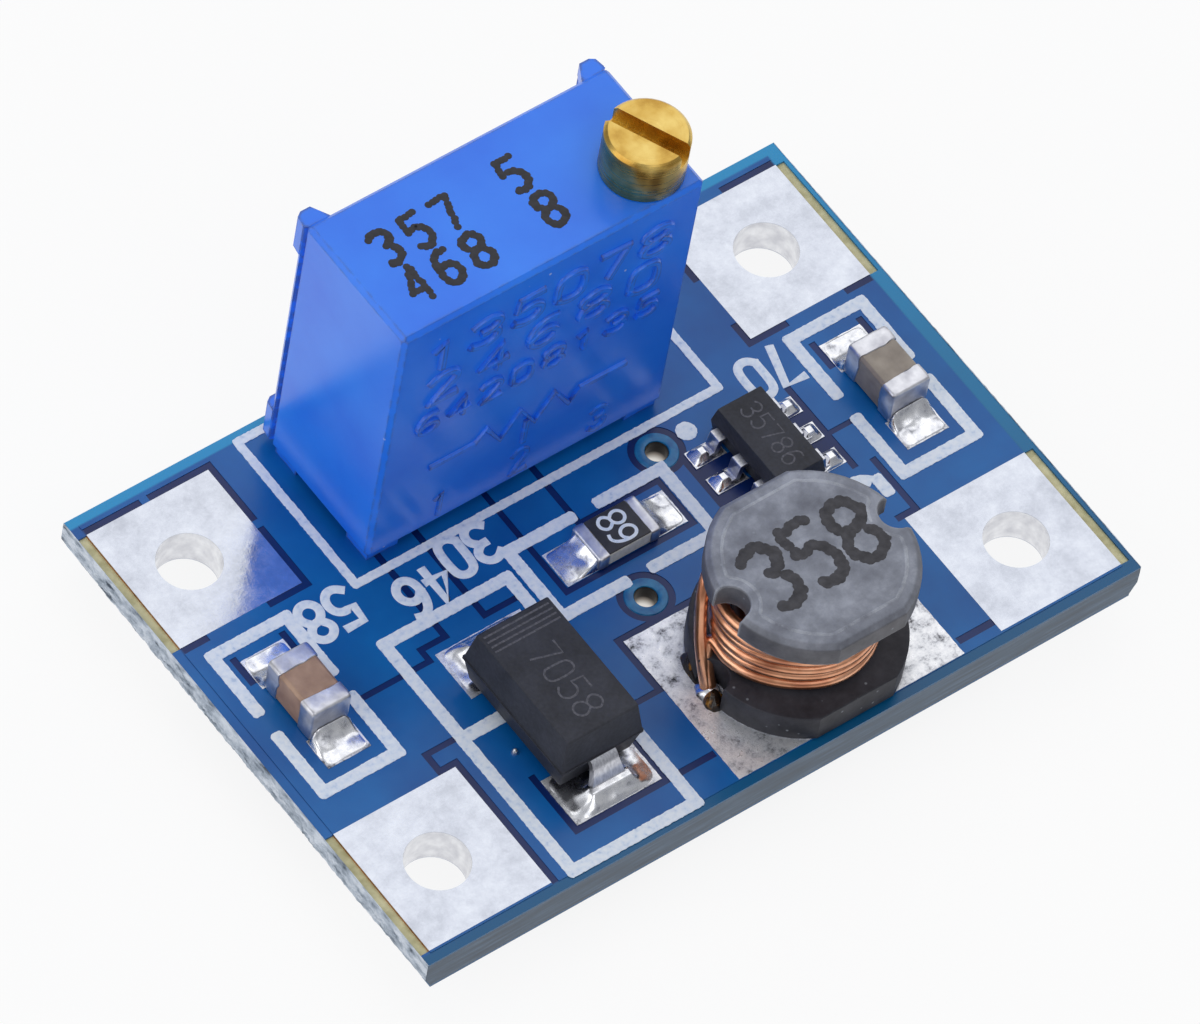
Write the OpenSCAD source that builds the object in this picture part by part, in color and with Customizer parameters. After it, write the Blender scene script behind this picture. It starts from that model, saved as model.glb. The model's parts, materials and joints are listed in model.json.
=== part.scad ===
// Boost converter module: a small blue circuit board that carries a multi-turn trimmer,
// a wire-wound drum inductor, a rectifier diode, a six-lead regulator, two chip capacitors
// and a chip resistor, with four large plated solder terminals at its corners.
// Millimetres. X runs along the board, Y towards the trimmer, Z up. The origin lies under
// the middle of the board, level with the trimmed ends of the trimmer's pins.

/* [Board] */
// Length of the board
board_l = 23; // [22.8:0.1:24]
// Width of the board
board_w = 16; // [15.9:0.1:17]
// Thickness of the bare laminate
board_t = 1; // [0.8:0.1:1.6]
// How far the trimmed pins stand out under the laminate
pin_stub = 1; // [0.7:0.1:1.6]
// Depth of the score line under each end, along which the board was snapped from its panel
score_h = 0.38; // [0.2:0.02:0.44]
// Distance from the board's front, back and left edges to the copper
copper_inset = 0.28; // [0.2:0.02:0.36]
// Distance from the board's right end to the copper
right_inset = 0.4; // [0.3:0.02:0.5]
// Width of the strip of lacquer along the right end, beyond its terminals
right_strip = 0.12; // [0.06:0.02:0.2]

/* [Corner terminals] */
// Distance from the board's left and right ends to the holes
hole_ends = [2.06, 2.26]; // [2:0.01:2.4]
// Distance from the board's front and back edges to the holes
hole_edges = [2.425, 2.705]; // [2.4:0.005:2.8]
// Radius of a finished corner hole
hole_r = 0.89; // [0.7:0.01:1]
// Side of a corner terminal's opening in the solder mask
terminal_side = 4.16; // [3.8:0.02:4.2]

/* [Trimmer] */
// Length of the trimmer's housing
trim_l = 9.54; // [9.5:0.02:10]
// Depth of the housing without its back nubs
trim_w = 4.27; // [4.2:0.01:4.5]
// Height of the housing over the board
trim_h = 9.94; // [9.8:0.02:10.6]
// Place of the housing: its middle from the board's middle, its front face from the board's back edge
trim_at = [-0.89, 5.22]; // [-2:0.01:5.5]
// Diameter of the adjusting screw's head
screw_head_d = 2.28; // [1.9:0.02:2.3]
// Height of the screw's head over the housing
screw_head_h = 1.5; // [1:0.05:1.8]
// Direction of the screwdriver slot, in degrees from X
slot_turn = -65; // [-90:1:90]
// Distance between the pins
pin_pitch = 2.54; // [2.4:0.01:2.6]

/* [Inductor] */
// Place of the inductor: from the board's middle, and from its front edge
coil_at = [2.26, 2.8]; // [2:0.01:4]
// Diameter of the drum's base flange
drum_d = 5.76; // [5.6:0.02:5.9]
// Diameter of the drum's top flange
drum_top_d = 5.62; // [5.5:0.02:5.8]
// Width of the drum across its two flats
drum_flat_w = 5.2; // [4.8:0.02:5.3]
// Height of the drum
drum_h = 4.15; // [3.6:0.05:5]
// Diameter of the enamelled wire
wire_d = 0.36; // [0.3:0.02:0.44]

/* [Diode] */
// Place of the diode: from the board's middle, and from its front edge
diode_at = [-4.42, 4.47]; // [-5:0.01:5]
// Length of the diode's body
diode_l = 4.3; // [4.1:0.05:4.4]
// Width of the diode's body
diode_w = 2.6; // [2.3:0.05:2.7]
// Height of the diode over its pads
diode_h = 2.15; // [1.9:0.05:2.4]

/* [Regulator] */
// Place of the regulator, from the board's middle
chip_at = [5.2, -0.03]; // [-6:0.01:6]
// Length of the regulator's body
chip_l = 2.9; // [2.7:0.05:3]
// Width of the regulator's body
chip_w = 1.6; // [1.5:0.05:1.7]
// Height of the regulator over its pads
chip_h = 1.1; // [1:0.05:1.3]
// Distance between neighbouring leads
lead_pitch = 0.95; // [0.9:0.01:1]

/* [Chip capacitors and resistor] */
// Place of the left capacitor: from the board's left end, and from its middle line
left_cap_at = [2.02, 0.12]; // [0:0.01:3]
// Place of the right capacitor: from the board's right end, and from its middle line
right_cap_at = [2.28, 0.13]; // [0:0.01:3]
// Place of the resistor, from the board's middle
res_at = [0.35, 0.02]; // [-3:0.01:3]
// Length of a chip part
chip_part_l = 2; // [1.9:0.02:2.1]
// Width of a chip part
chip_part_w = 1.25; // [1.15:0.01:1.3]
// Height of a chip capacitor
cap_h = 1.2; // [0.8:0.05:1.4]
// Height of the chip resistor
res_h = 0.5; // [0.4:0.02:0.6]

/* [Hidden] */
$fn = 48;
overlap = 0.02;

// How far the score line's flank leans in
score_in = 0.2;

// Heights of the board's layers
copper_t = 0.06;
mask_t = 0.025;
mask_gap_t = 0.066;
mask_clear = 0.02;
tin_t = 0.03;
ink_t = 0.02;
ink_w = 0.36;
ink_break = 0.6;
under = pin_stub;
top = under + board_t;
copper_top_z = top + copper_t;
mask_top_z = copper_top_z + mask_t;
pad_z = copper_top_z + tin_t;
copper_low_z = under - copper_t;
pad_low_z = copper_low_z - tin_t;

// Places on the board, from its middle
trim_spot = [trim_at[0], board_w / 2 - trim_at[1]];
coil_spot = [coil_at[0], coil_at[1] - board_w / 2];
diode_spot = [diode_at[0], diode_at[1] - board_w / 2];
left_cap_spot = [left_cap_at[0] - board_l / 2, left_cap_at[1]];
right_cap_spot = [board_l / 2 - right_cap_at[0], right_cap_at[1]];
hole_x = [hole_ends[0] - board_l / 2, board_l / 2 - hole_ends[1]];
hole_y = [hole_edges[0] - board_w / 2, board_w / 2 - hole_edges[1]];
corners = [for (x = hole_x, y = hole_y) [x, y]];

// Plated holes: thin copper in vias and pin holes, a thick tinned barrel in the corner terminals
plating_t = 0.04;
barrel_t = 0.17;
via_r = 0.31;
via_ring_r = 0.58;
gap_w = 0.2;
vias = [chip_at + [-2.28, 1.68], coil_spot + [-2.31, 3.33]];
pin_r = 0.25;
pin_hole_r = 0.42;
pin_pad_r = 0.85;
pin_y = 2.41;
pin_top = 0.95;
pins = [for (i = [-1:1]) trim_spot + [i * pin_pitch, pin_y]];

// Solder pads on top: half width, and the near and far end from the part's middle
pad_spare = 0.05;
pad_out = 0.94;
res_pad_in = 0.25;
diode_pad_in = 0.65;
coil_pad_in = 0.98;
coil_pad_out = 0.77;
lead_pad_half = 0.28;
cap_pad = [chip_part_w / 2 + pad_spare, chip_part_l / 2 - pad_spare, chip_part_l / 2 + pad_out];
res_pad = [chip_part_w / 2 - pad_spare, chip_part_l / 2 - res_pad_in, chip_part_l / 2 + pad_out];
diode_pad = [diode_w / 2 + pad_spare, diode_l / 2 - diode_pad_in, diode_l / 2 + pad_out];
coil_pad = [drum_flat_w / 2 - 2 * pad_spare, coil_pad_in, drum_d / 2 + coil_pad_out];
lead_pad = [lead_pad_half, chip_w / 2 - pad_spare, chip_w / 2 + pad_out];

// Trimmer housing
foot_h = 0.3;
foot_l = 1;
foot_w = 0.9;
nub_d = 0.5;
nub_l = 0.8;
nub_h = 1.25;
nub_cut = 0.1;
rail_d = 0.15;
rail_cut = 0.05;
edge = 0.12;
front_wall = 0.42;
cover_y = 2.3;
element_t = 0.6;
element_gap = 0.05;
resin_bulge = 0.06;
side_wall = 0.47;
thin_wall = 0.32;
cavity_low = 0.75;
cavity_top = trim_h - 0.6;
room_low = 1.55;
room_top = trim_h - 1.39;

// Adjusting screw and the wheel that it drives
screw_x = trim_l / 2 - 1.14;
screw_y = 1.24;
shaft_r = 0.77;
bore_r = 0.8;
slot_w = 0.46;
slot_d = 0.52;
groove_r = 0.5;
groove_h = 0.34;
groove_z = trim_h - 0.95;
seal_t = 0.3;
pivot_r = 0.4;
pivot_z = 0.6;
pivot_gap = 0.05;
worm_mid_r = 0.58;
worm_throw = 0.16;
worm_turns = 5;
wheel_teeth = 33;
wheel_module = 0.19;
wheel_pitch_r = wheel_teeth * wheel_module / 2;
worm_pitch = PI * wheel_module;
wheel_x = screw_x - wheel_pitch_r - 0.6;
wheel_z = (room_low + room_top) / 2;
wheel_w = 1;
wheel_tip_r = wheel_pitch_r + 0.12;
wheel_root_r = wheel_pitch_r - 0.19;
wheel_room = 0.24;
post_r = 0.7;
shoulder_r = 1.2;
run_gap = 0.03;
wiper_t = 0.12;
wiper_r = 1.2;
arm_w = 0.7;
contact_r = 0.18;
track_r = 2.25;
track_w = 0.8;
track_gap = [2.2, 4];
film_t = 0.02;

// Inductor
flange_t = 0.92;
top_flange_t = 0.8;
rim = 0.16;
notch_r = 0.52;
top_notch_out = 0.12;
plate_t = 0.06;
plate_inset = 0.05;
plate_from = 1.3;
barrel_r = 1.25;
winding_r = 2.08;
wire_nest = 0.94;
wire_run = drum_d / 2 - 0.22;
wire_rise = 0.3;
wire_end_z = 2 * plate_t;

// Moulded bodies and their leads
diode_draft = 0.17;
diode_lift = 0.03;
diode_parting = diode_h / 2;
lead_t = 0.2;
lead_w = 1.3;
lead_neck_w = 0.6;
lead_grip = 0.4;
lead_knee = diode_l / 2 + 0.1;
lead_fold = 1.2;
diode_reach = diode_l / 2 + 0.45;
chip_draft = 0.09;
chip_lift = 0.08;
chip_parting = chip_h * 0.55;
pin_lead_t = 0.15;
pin_lead_w = 0.4;
pin_lead_grip = 0.25;
pin_lead_knee = chip_w / 2 + 0.1;
pin_lead_slope = 0.08;
pin_lead_wall = 0.14;
pin_lead_reach = chip_w / 2 + 0.6;

// Chip parts: metal ends wrapped around a block with cut edges
wrap_t = 0.03;
cap_edge = 0.1;
cap_end = 0.52;
res_edge = 0.03;
res_end = 0.33;
coat_inset = [0.34, 0.04];
coat_rise = 0.02;

// Solder beads: the height of the toe, the width of the lip, the depth of the hollow face as a
// share of its chord, the bare rim of the pad, and how high each bead climbs
bead_toe = 0.03;
bead_lip = 0.03;
bead_hollow = 0.16;
pad_rim = 0.03;
cap_climb = 0.78;
res_climb = 0.42;
diode_climb = 0.6;
pin_lead_climb = 0.14;
coil_climb = 0.95;
coil_joint_w = 1.5;
coil_joint_in = 0.43;
pin_cone_h = 0.62;
bead_spare = 0.1;

tin = "#CDD0DA";
solder = "#D9DBE2";
copper = "#B87333";

// A box between two corners
module box(from, to) {
    translate(from) cube(to - from);
}

// A flat rectangle between two X and two Y values, measured from some place
module patch(at, x0, x1, y0, y1) {
    translate([at[0] + x0, at[1] + y0]) square([x1 - x0, y1 - y0]);
}

// A printed line around a rectangle, measured from some place
module frame_line(at, x0, x1, y0, y1, line) {
    difference() {
        patch(at, x0, x1, y0, y1);
        patch(at, x0 + line, x1 - line, y0 + line, y1 - line);
    }
}

// Two equal pads on either side of a point, along X or along Y
module pad_pair(at, pad, along_x) {
    for (side = [0, 180]) {
        translate(at) rotate(side + (along_x ? 0 : 90))
            translate([pad[1], -pad[0]]) square([pad[2] - pad[1], 2 * pad[0]]);
    }
}

// All small solder pads on top
module part_pads() {
    pad_pair(left_cap_spot, cap_pad, false);
    pad_pair(right_cap_spot, cap_pad, false);
    pad_pair(res_at, res_pad, true);
    pad_pair(diode_spot, diode_pad, false);
    pad_pair(coil_spot, coil_pad, true);
    for (i = [-1:1]) {
        pad_pair(chip_at + [0, i * lead_pitch], lead_pad, true);
    }
}

// The copper's reach on either face
module copper_reach() {
    patch([0, 0], copper_inset - board_l / 2, board_l / 2 - right_inset,
          copper_inset - board_w / 2, board_w / 2 - copper_inset);
}

// The corner terminals' openings in the mask: on the left they run out over the board's end
module terminal_openings() {
    half = terminal_side / 2;
    for (y = hole_y) {
        patch([0, y], -board_l, hole_x[0] + half, -half, half);
        patch([0, y], hole_x[1] - half, board_l / 2 - right_strip, -half, half);
    }
}

// The corner terminals' metal, which stops short of the board's ends
module terminal_pads() {
    intersection() {
        terminal_openings();
        copper_reach();
    }
}

// Every plated hole as finished
module finished_holes() {
    for (at = corners) translate(at) circle(hole_r);
    for (at = vias) translate(at) circle(via_r);
    for (at = pins) translate(at) circle(pin_hole_r);
}

// Every hole as drilled, with room for its plating
module drilled_holes() {
    for (at = corners) translate(at) circle(hole_r + barrel_t);
    for (at = vias) translate(at) circle(via_r + plating_t);
    for (at = pins) translate(at) circle(pin_hole_r + plating_t);
}

// Every hole in the lacquer, which covers the vias' rims and leaves the other barrels bare
module mask_holes() {
    for (at = corners) translate(at) circle(hole_r + barrel_t + mask_clear);
    for (at = vias) translate(at) circle(via_r + mask_clear);
    for (at = pins) translate(at) circle(pin_hole_r + plating_t + mask_clear);
}

// The narrow gaps that part the top copper into nets, seen as darker lines in the mask
module copper_gaps() {
    near = terminal_side / 2;
    far = near + gap_w;
    lead_gap = lead_pitch / 2 - lead_pad_half;
    // Around the back left terminal, with its bridges left standing
    patch(corners[1], near, far, 0.15, far);
    patch(corners[1], near, far, -far, -0.1);
    patch(corners[1], 0.94, far, -far, -near);
    patch(corners[1], -1.86, -0.96, -far, -near);
    patch(corners[1], -1.86, 0, near, far);
    patch(corners[1], 0.24, far, near, far);
    // Around the back right terminal
    patch(corners[3], -far, -near, 0.15, far);
    patch(corners[3], -far, -near, -far, -1.45);
    patch(corners[3], -far, -0.94, -far, -near);
    patch(corners[3], 0.96, 2.16, -far, -near);
    patch(corners[3], 0.11, 2.16, near, far);
    // Around the two front terminals
    patch(corners[0], near, far, -2.22, far);
    patch(corners[0], 1.56, far, near, far);
    patch(corners[0], 1.56, 1.76, near, 2.87);
    patch(corners[0], 1.56, 2.84, 2.69, 2.87);
    patch(corners[2], -1.74, -1.54, near, 4.07);
    patch(corners[2], -far, -1.54, near, far);
    patch(corners[2], -3.24, -near, -1.84, -1.62);
    // Beside the run from the trimmer's left pin
    patch(trim_spot, -4.41, -4.21, -2.98, 2.22);
    patch(trim_spot, -3.15, -2.95, -2.98, 2.22);
    patch(trim_spot, -7.31, -5.01, -3.38, -3.2);
    patch(trim_spot, -5.19, -5.01, -3.38, -2.8);
    patch(trim_spot, -5.19, -4.21, -2.98, -2.8);
    patch(trim_spot, -3.15, -1.86, -2.98, -2.8);
    patch(trim_spot, -2.04, -1.86, -4.98, -2.8);
    // Beside the run from the trimmer's middle pin
    patch(trim_spot, -0.91, -0.73, -3.53, 2.22);
    patch(trim_spot, 0.63, 0.83, -1.98, 2.22);
    patch(trim_spot, 0.63, 3.37, -1.98, -1.8);
    patch(trim_spot, -0.91, 3.37, -3.53, -3.35);
    patch(trim_spot, 3.19, 3.37, -3.53, -1.8);
    // Around the diode's front pad and the inductor's pads
    patch(diode_spot, -diode_pad[0] - gap_w, -diode_pad[0], -diode_pad[2] - gap_w, -1.22);
    patch(diode_spot, -diode_pad[0] - gap_w, 2.98, -diode_pad[2] - gap_w, -diode_pad[2]);
    patch(diode_spot, diode_pad[0], diode_pad[0] + gap_w, -diode_pad[2] - gap_w, -0.87);
    patch(diode_spot, diode_pad[0], 2.98, -0.95, -0.77);
    patch(coil_spot, -coil_pad[2] - gap_w, -coil_pad[2], 0.72, coil_pad[0] + gap_w);
    patch(coil_spot, -coil_pad[2] - gap_w, -0.36, coil_pad[0], coil_pad[0] + gap_w);
    patch(coil_spot, -0.81, -0.63, -2.3, 2.74);
    patch(coil_spot, 0.64, 0.82, -2.3, 3);
    // Beside the capacitors' back pads
    for (at = [left_cap_spot, right_cap_spot], side = [-1, 1]) {
        patch(at + [side * (cap_pad[0] + gap_w / 2), cap_pad[2]], -gap_w / 2, gap_w / 2, -0.75, gap_w);
    }
    // Around the regulator's pads
    for (side = [0, 180]) translate(chip_at) rotate(side) {
        patch([0, 0], 0.5, 0.65, -1.5, 1.5);
        patch([lead_pad[2], 0], 0, gap_w, -1.5, 1.5);
        for (row = [-1, 1]) patch([lead_pad[2], row * lead_pitch / 2], -1.24, gap_w, -lead_gap, lead_gap);
    }
    patch(chip_at, lead_pad[2], 2.7, -0.33, -0.17);
    for (at = vias) {
        translate(at) difference() {
            circle(via_ring_r + gap_w);
            circle(via_ring_r);
        }
    }
}

// The top copper, drilled
module copper_area() {
    difference() {
        copper_reach();
        copper_gaps();
        drilled_holes();
    }
}

// The copper underneath: one wide area, kept clear of the pins' pads
module copper_area_low() {
    difference() {
        copper_reach();
        for (at = pins) translate(at) difference() {
            circle(pin_pad_r + gap_w);
            circle(pin_pad_r);
        }
        for (at = corners) {
            translate([at[0] - sign(at[0]) * (terminal_side / 2 + gap_w), at[1]])
                square([gap_w, terminal_side], center = true);
        }
        drilled_holes();
    }
}

// Bare board, with the lower half of a score line left under each end
module board_laminate() {
    half = board_l / 2;
    color("#9AA08A") difference() {
        translate([0, board_w / 2, under]) rotate([90, 0, 0]) linear_extrude(board_w) polygon([
            [score_in - half, 0], [half - score_in, 0], [half, score_h], [half, board_t],
            [-half, board_t], [-half, score_h]
        ]);
        translate([0, 0, under - board_t]) linear_extrude(3 * board_t) drilled_holes();
    }
}

module copper_top() {
    color(copper) translate([0, 0, top]) linear_extrude(copper_t) copper_area();
}

module copper_bottom() {
    color(copper) translate([0, 0, copper_low_z]) linear_extrude(copper_t) copper_area_low();
}

// Barrels of plated metal that line every hole
module hole_plating() {
    color(tin) translate([0, 0, copper_low_z]) linear_extrude(board_t + 2 * copper_t) difference() {
        drilled_holes();
        finished_holes();
    }
}

// Plan of the lacquer on top, open over every bare pad and hole
module mask_plan() {
    difference() {
        square([board_l, board_w], center = true);
        terminal_openings();
        part_pads();
        mask_holes();
    }
}

// All that lies level with the top copper: the copper itself and the barrels' rims
module level_metal() {
    copper_area();
    drilled_holes();
}

// Lacquer on top: it lies low over bare laminate, and higher over the copper
module solder_mask_top() {
    color("#15458F") {
        difference() {
            translate([0, 0, top]) linear_extrude(mask_gap_t) mask_plan();
            translate([0, 0, top - overlap]) linear_extrude(copper_t + overlap) level_metal();
        }
        translate([0, 0, copper_top_z]) linear_extrude(mask_t) intersection() {
            level_metal();
            mask_plan();
        }
    }
}

module solder_mask_bottom() {
    color("#15458F") difference() {
        translate([0, 0, copper_low_z - mask_t]) linear_extrude(copper_t + mask_t) difference() {
            square([board_l - 2 * score_in, board_w], center = true);
            terminal_openings();
            for (at = pins) translate(at) circle(pin_pad_r);
            mask_holes();
        }
        translate([0, 0, copper_low_z]) linear_extrude(copper_t + overlap) {
            copper_area_low();
            drilled_holes();
        }
    }
}

// Tin over the bare pads on top
module pad_tin_top() {
    color(tin) translate([0, 0, copper_top_z]) linear_extrude(tin_t) {
        difference() {
            terminal_pads();
            finished_holes();
        }
        part_pads();
    }
}

// Tin over the bare pads underneath
module pad_tin_bottom() {
    color(tin) translate([0, 0, pad_low_z]) linear_extrude(tin_t) difference() {
        union() {
            terminal_pads();
            for (at = pins) translate(at) circle(pin_pad_r);
        }
        finished_holes();
    }
}

// A printed box around a chip part, parted in the middle of both long sides
module chip_outline(at, along_x, left, right, back, front) {
    translate(at) rotate(along_x ? 0 : 90) difference() {
        frame_line([0, 0], -chip_part_l / 2 - left, chip_part_l / 2 + right,
                   -chip_part_w / 2 - front, chip_part_w / 2 + back, ink_w);
        translate([(right - left) / 2, 0]) square([ink_break, 4 * chip_part_w], center = true);
    }
}

// Printed outlines around the parts' places, and the dot at the regulator's first lead
module ink_plan() {
    frame_line(trim_spot, -trim_l / 2 - 0.68, trim_l / 2 + 1.74, -0.48, trim_w + 0.75, 0.25);
    chip_outline(left_cap_spot, false, 1.64, 1.63, 0.75, 0.7);
    chip_outline(right_cap_spot, false, 1.65, 1.68, 0.77, 0.7);
    chip_outline(res_at, true, 1.8, 1.52, 0.69, 0.81);
    frame_line(diode_spot, -diode_w / 2 - 1.16, diode_w / 2 + 0.55,
               -diode_l / 2 - 2.17, diode_l / 2 + 2.08, ink_w);
    patch(diode_spot, -diode_w / 2 - 0.9, diode_w / 2 + 0.3, 0.45, 0.83);
    patch(coil_spot, 4.86, 5.22, 2.47, 3.22);
    translate(coil_spot + [4.4, 2.66]) intersection() {
        difference() {
            circle(0.82);
            circle(0.82 - ink_w);
        }
        rotate(43) square([2, 2]);
    }
    translate(chip_at + [-1.25, 1.78]) circle(0.29);
}

// Ink, printed only where there is lacquer to take it
module silkscreen() {
    color("#C5D5EE") translate([0, 0, mask_top_z]) linear_extrude(ink_t) intersection() {
        ink_plan();
        mask_plan();
    }
}

// The trimmer's own place: middle of its front lower edge on the board
module in_trimmer() {
    translate([trim_spot[0], trim_spot[1], mask_top_z]) children();
}

// The trimmer's wheel axis, with Z of the children pointing to the back
module in_wheel(y) {
    in_trimmer() translate([wheel_x, y, wheel_z]) rotate([-90, 0, 0]) children();
}

// A flat profile with its four corners cut
module cut_rectangle(l, w, cut) {
    polygon([
        [cut, 0], [l - cut, 0], [l, cut], [l, w - cut],
        [l - cut, w], [cut, w], [0, w - cut], [0, cut]
    ]);
}

// A block with all twelve edges cut
module cut_block(l, w, h, cut) {
    intersection() {
        linear_extrude(h) cut_rectangle(l, w, cut);
        translate([0, w, 0]) rotate([90, 0, 0]) linear_extrude(w) cut_rectangle(l, h, cut);
        rotate([90, 0, 90]) linear_extrude(l) cut_rectangle(w, h, cut);
    }
}

// One standing nub on the back, on the left (-1) or right (1)
module back_nub(side, z) {
    translate([0, 0, z]) linear_extrude(nub_h) polygon([
        [side * (trim_l / 2 - edge), trim_w - overlap], [side * trim_l / 2, trim_w + nub_cut],
        [side * (trim_l / 2 - nub_cut / 2), trim_w + nub_d - nub_cut],
        [side * (trim_l / 2 - 2 * nub_cut), trim_w + nub_d],
        [side * (trim_l / 2 - nub_l + 3 * nub_cut), trim_w + nub_d],
        [side * (trim_l / 2 - nub_l), trim_w - overlap]
    ]);
}

// Low rail up the back, between the two nubs on one side
module back_rail(side) {
    low = foot_h + edge;
    translate([0, 0, low]) linear_extrude(trim_h - low - edge) polygon([
        [side * (trim_l / 2 - edge), trim_w - overlap], [side * trim_l / 2, trim_w + rail_cut],
        [side * (trim_l / 2 - rail_cut), trim_w + rail_d],
        [side * (trim_l / 2 - side_wall + rail_d), trim_w + rail_d],
        [side * (trim_l / 2 - side_wall), trim_w - overlap]
    ]);
}

module trimmer_housing() {
    color("#2F6BD8") in_trimmer() {
        difference() {
            union() {
                translate([-trim_l / 2, 0, foot_h]) cut_block(trim_l, trim_w, trim_h - foot_h, edge);
                for (side = [-1, 1]) {
                    for (y = [edge, trim_w - foot_w - edge]) {
                        translate([side * (trim_l / 2 - edge - foot_l / 2) - foot_l / 2, y, 0])
                            cube([foot_l, foot_w, foot_h + edge]);
                    }
                    back_nub(side, foot_h + edge);
                    back_nub(side, trim_h - nub_h - edge);
                    back_rail(side);
                }
            }
            // Room at the back for the ceramic plate and its sealing resin
            box([side_wall - trim_l / 2, cover_y, cavity_low],
                [trim_l / 2 - side_wall, 2 * trim_w, cavity_top]);
            // Room in front for the wheel and the worm
            box([wheel_x - wheel_tip_r - wheel_room, front_wall, room_low],
                [trim_l / 2 - thin_wall, cover_y + element_t, room_top]);
            // Bore for the screw's neck, and the blind hole for its lower end
            translate([screw_x, screw_y, wheel_z]) cylinder(h = trim_h, r = bore_r);
            translate([screw_x, screw_y, pivot_z - pivot_gap]) cylinder(h = room_low, r = pivot_r + run_gap);
            for (i = [-1:1]) {
                translate([i * pin_pitch, pin_y, -pin_top]) cylinder(h = 2 * pin_top, r = pin_r);
            }
        }
        // Post and shoulder that carry the wheel
        translate([wheel_x, front_wall - edge, wheel_z]) rotate([-90, 0, 0]) {
            cylinder(h = screw_y + wheel_w / 2 - front_wall + edge, r = post_r);
            cylinder(h = screw_y - wheel_w / 2 - front_wall + edge - run_gap, r = shoulder_r);
        }
    }
}

// Brass screw: slotted head, sealed neck, worm and lower pivot
module trimmer_screw() {
    worm_h = worm_turns * worm_pitch;
    worm_low = wheel_z - worm_h / 2;
    head_low = trim_h + run_gap;
    head_top = trim_h + screw_head_h;
    bevel = 0.1;
    color("#C8AA5A") in_trimmer() translate([screw_x, screw_y, 0]) {
        difference() {
            union() {
                translate([0, 0, head_low]) cylinder(h = head_top - head_low - bevel, d = screw_head_d);
                translate([0, 0, head_top - bevel])
                    cylinder(h = bevel, d1 = screw_head_d, d2 = screw_head_d - 2 * bevel);
            }
            translate([0, 0, head_top]) rotate(slot_turn)
                cube([2 * screw_head_d, slot_w, 2 * slot_d], center = true);
        }
        difference() {
            translate([0, 0, worm_low + worm_h - overlap])
                cylinder(h = head_low - worm_low - worm_h + 2 * overlap, r = shaft_r);
            translate([0, 0, groove_z]) difference() {
                cylinder(h = groove_h, r = 2 * shaft_r);
                translate([0, 0, -groove_h]) cylinder(h = 3 * groove_h, r = groove_r);
            }
        }
        translate([0, 0, worm_low]) rotate(-180 * worm_turns)
            linear_extrude(worm_h, twist = -360 * worm_turns, slices = 12 * worm_turns, $fn = 13)
            translate([worm_throw, 0]) circle(worm_mid_r);
        translate([0, 0, pivot_z]) cylinder(h = worm_low - pivot_z + overlap, r = pivot_r);
    }
}

// Rubber ring in the screw's groove, pressed against the bore
module trimmer_seal_ring() {
    seal_z = groove_z + (groove_h - seal_t) / 2;
    color("#26262A") in_trimmer() translate([screw_x, screw_y, seal_z]) difference() {
        cylinder(h = seal_t, r = bore_r);
        translate([0, 0, -seal_t]) cylinder(h = 3 * seal_t, r = groove_r + run_gap);
    }
}

// Moulded wheel that the worm turns once in 33 turns of the screw
module trimmer_wheel() {
    half_root = 2.53;
    half_tip = 0.9;
    outline = [for (i = [0:wheel_teeth - 1]) each [
        for (corner = [[-half_root, wheel_root_r], [-half_tip, wheel_tip_r],
                       [half_tip, wheel_tip_r], [half_root, wheel_root_r]])
            let (a = 360 * i / wheel_teeth + corner[0]) corner[1] * [cos(a), sin(a)]
    ]];
    color("#E8E4D8") in_wheel(screw_y - wheel_w / 2) linear_extrude(wheel_w) difference() {
        polygon(outline);
        circle(post_r + run_gap);
    }
}

// Sprung contact that rides on the wheel and touches the resistive track
module trimmer_wiper() {
    arm_y = screw_y + wheel_w / 2;
    color("#C9B06A") in_wheel(arm_y) {
        difference() {
            union() {
                cylinder(h = wiper_t, r = wiper_r);
                box([-arm_w / 2, -track_r - contact_r, 0], [arm_w / 2, 0, wiper_t]);
            }
            translate([0, 0, -wiper_t]) cylinder(h = 3 * wiper_t, r = post_r + run_gap);
        }
        translate([0, -track_r, wiper_t - overlap])
            cylinder(h = cover_y - film_t - run_gap - arm_y - wiper_t + overlap, r = contact_r);
    }
}

// Resistive track: an open ring printed on the ceramic plate
module trimmer_track() {
    color("#1E1E20") in_wheel(cover_y - film_t) linear_extrude(film_t) difference() {
        circle(track_r + track_w / 2);
        circle(track_r - track_w / 2);
        polygon([[0, 0], [-track_gap[0], track_gap[1]], track_gap]);
    }
}

// Ceramic plate that closes the wheel's room
module trimmer_element() {
    color("#F0EDE4") in_trimmer()
        box([side_wall + element_gap - trim_l / 2, cover_y, pin_top],
            [trim_l / 2 - side_wall - element_gap, cover_y + element_t, cavity_top - element_gap]);
}

// Cast resin that seals the back
module trimmer_potting() {
    color("#2458B8") in_trimmer()
        box([side_wall - trim_l / 2, cover_y + element_t, cavity_low],
            [trim_l / 2 - side_wall, trim_w + resin_bulge, cavity_top]);
}

// One tinned pin, from the ceramic plate down through the board
module trimmer_pin(i) {
    tip = 0.12;
    color(tin) translate([pins[i][0], pins[i][1], 0]) {
        cylinder(h = tip, r1 = pin_r - tip / 2, r2 = pin_r);
        translate([0, 0, tip]) cylinder(h = mask_top_z + pin_top - tip, r = pin_r);
    }
}

module trimmer_pin_left() {
    trimmer_pin(0);
}

module trimmer_pin_middle() {
    trimmer_pin(1);
}

module trimmer_pin_right() {
    trimmer_pin(2);
}

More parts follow.
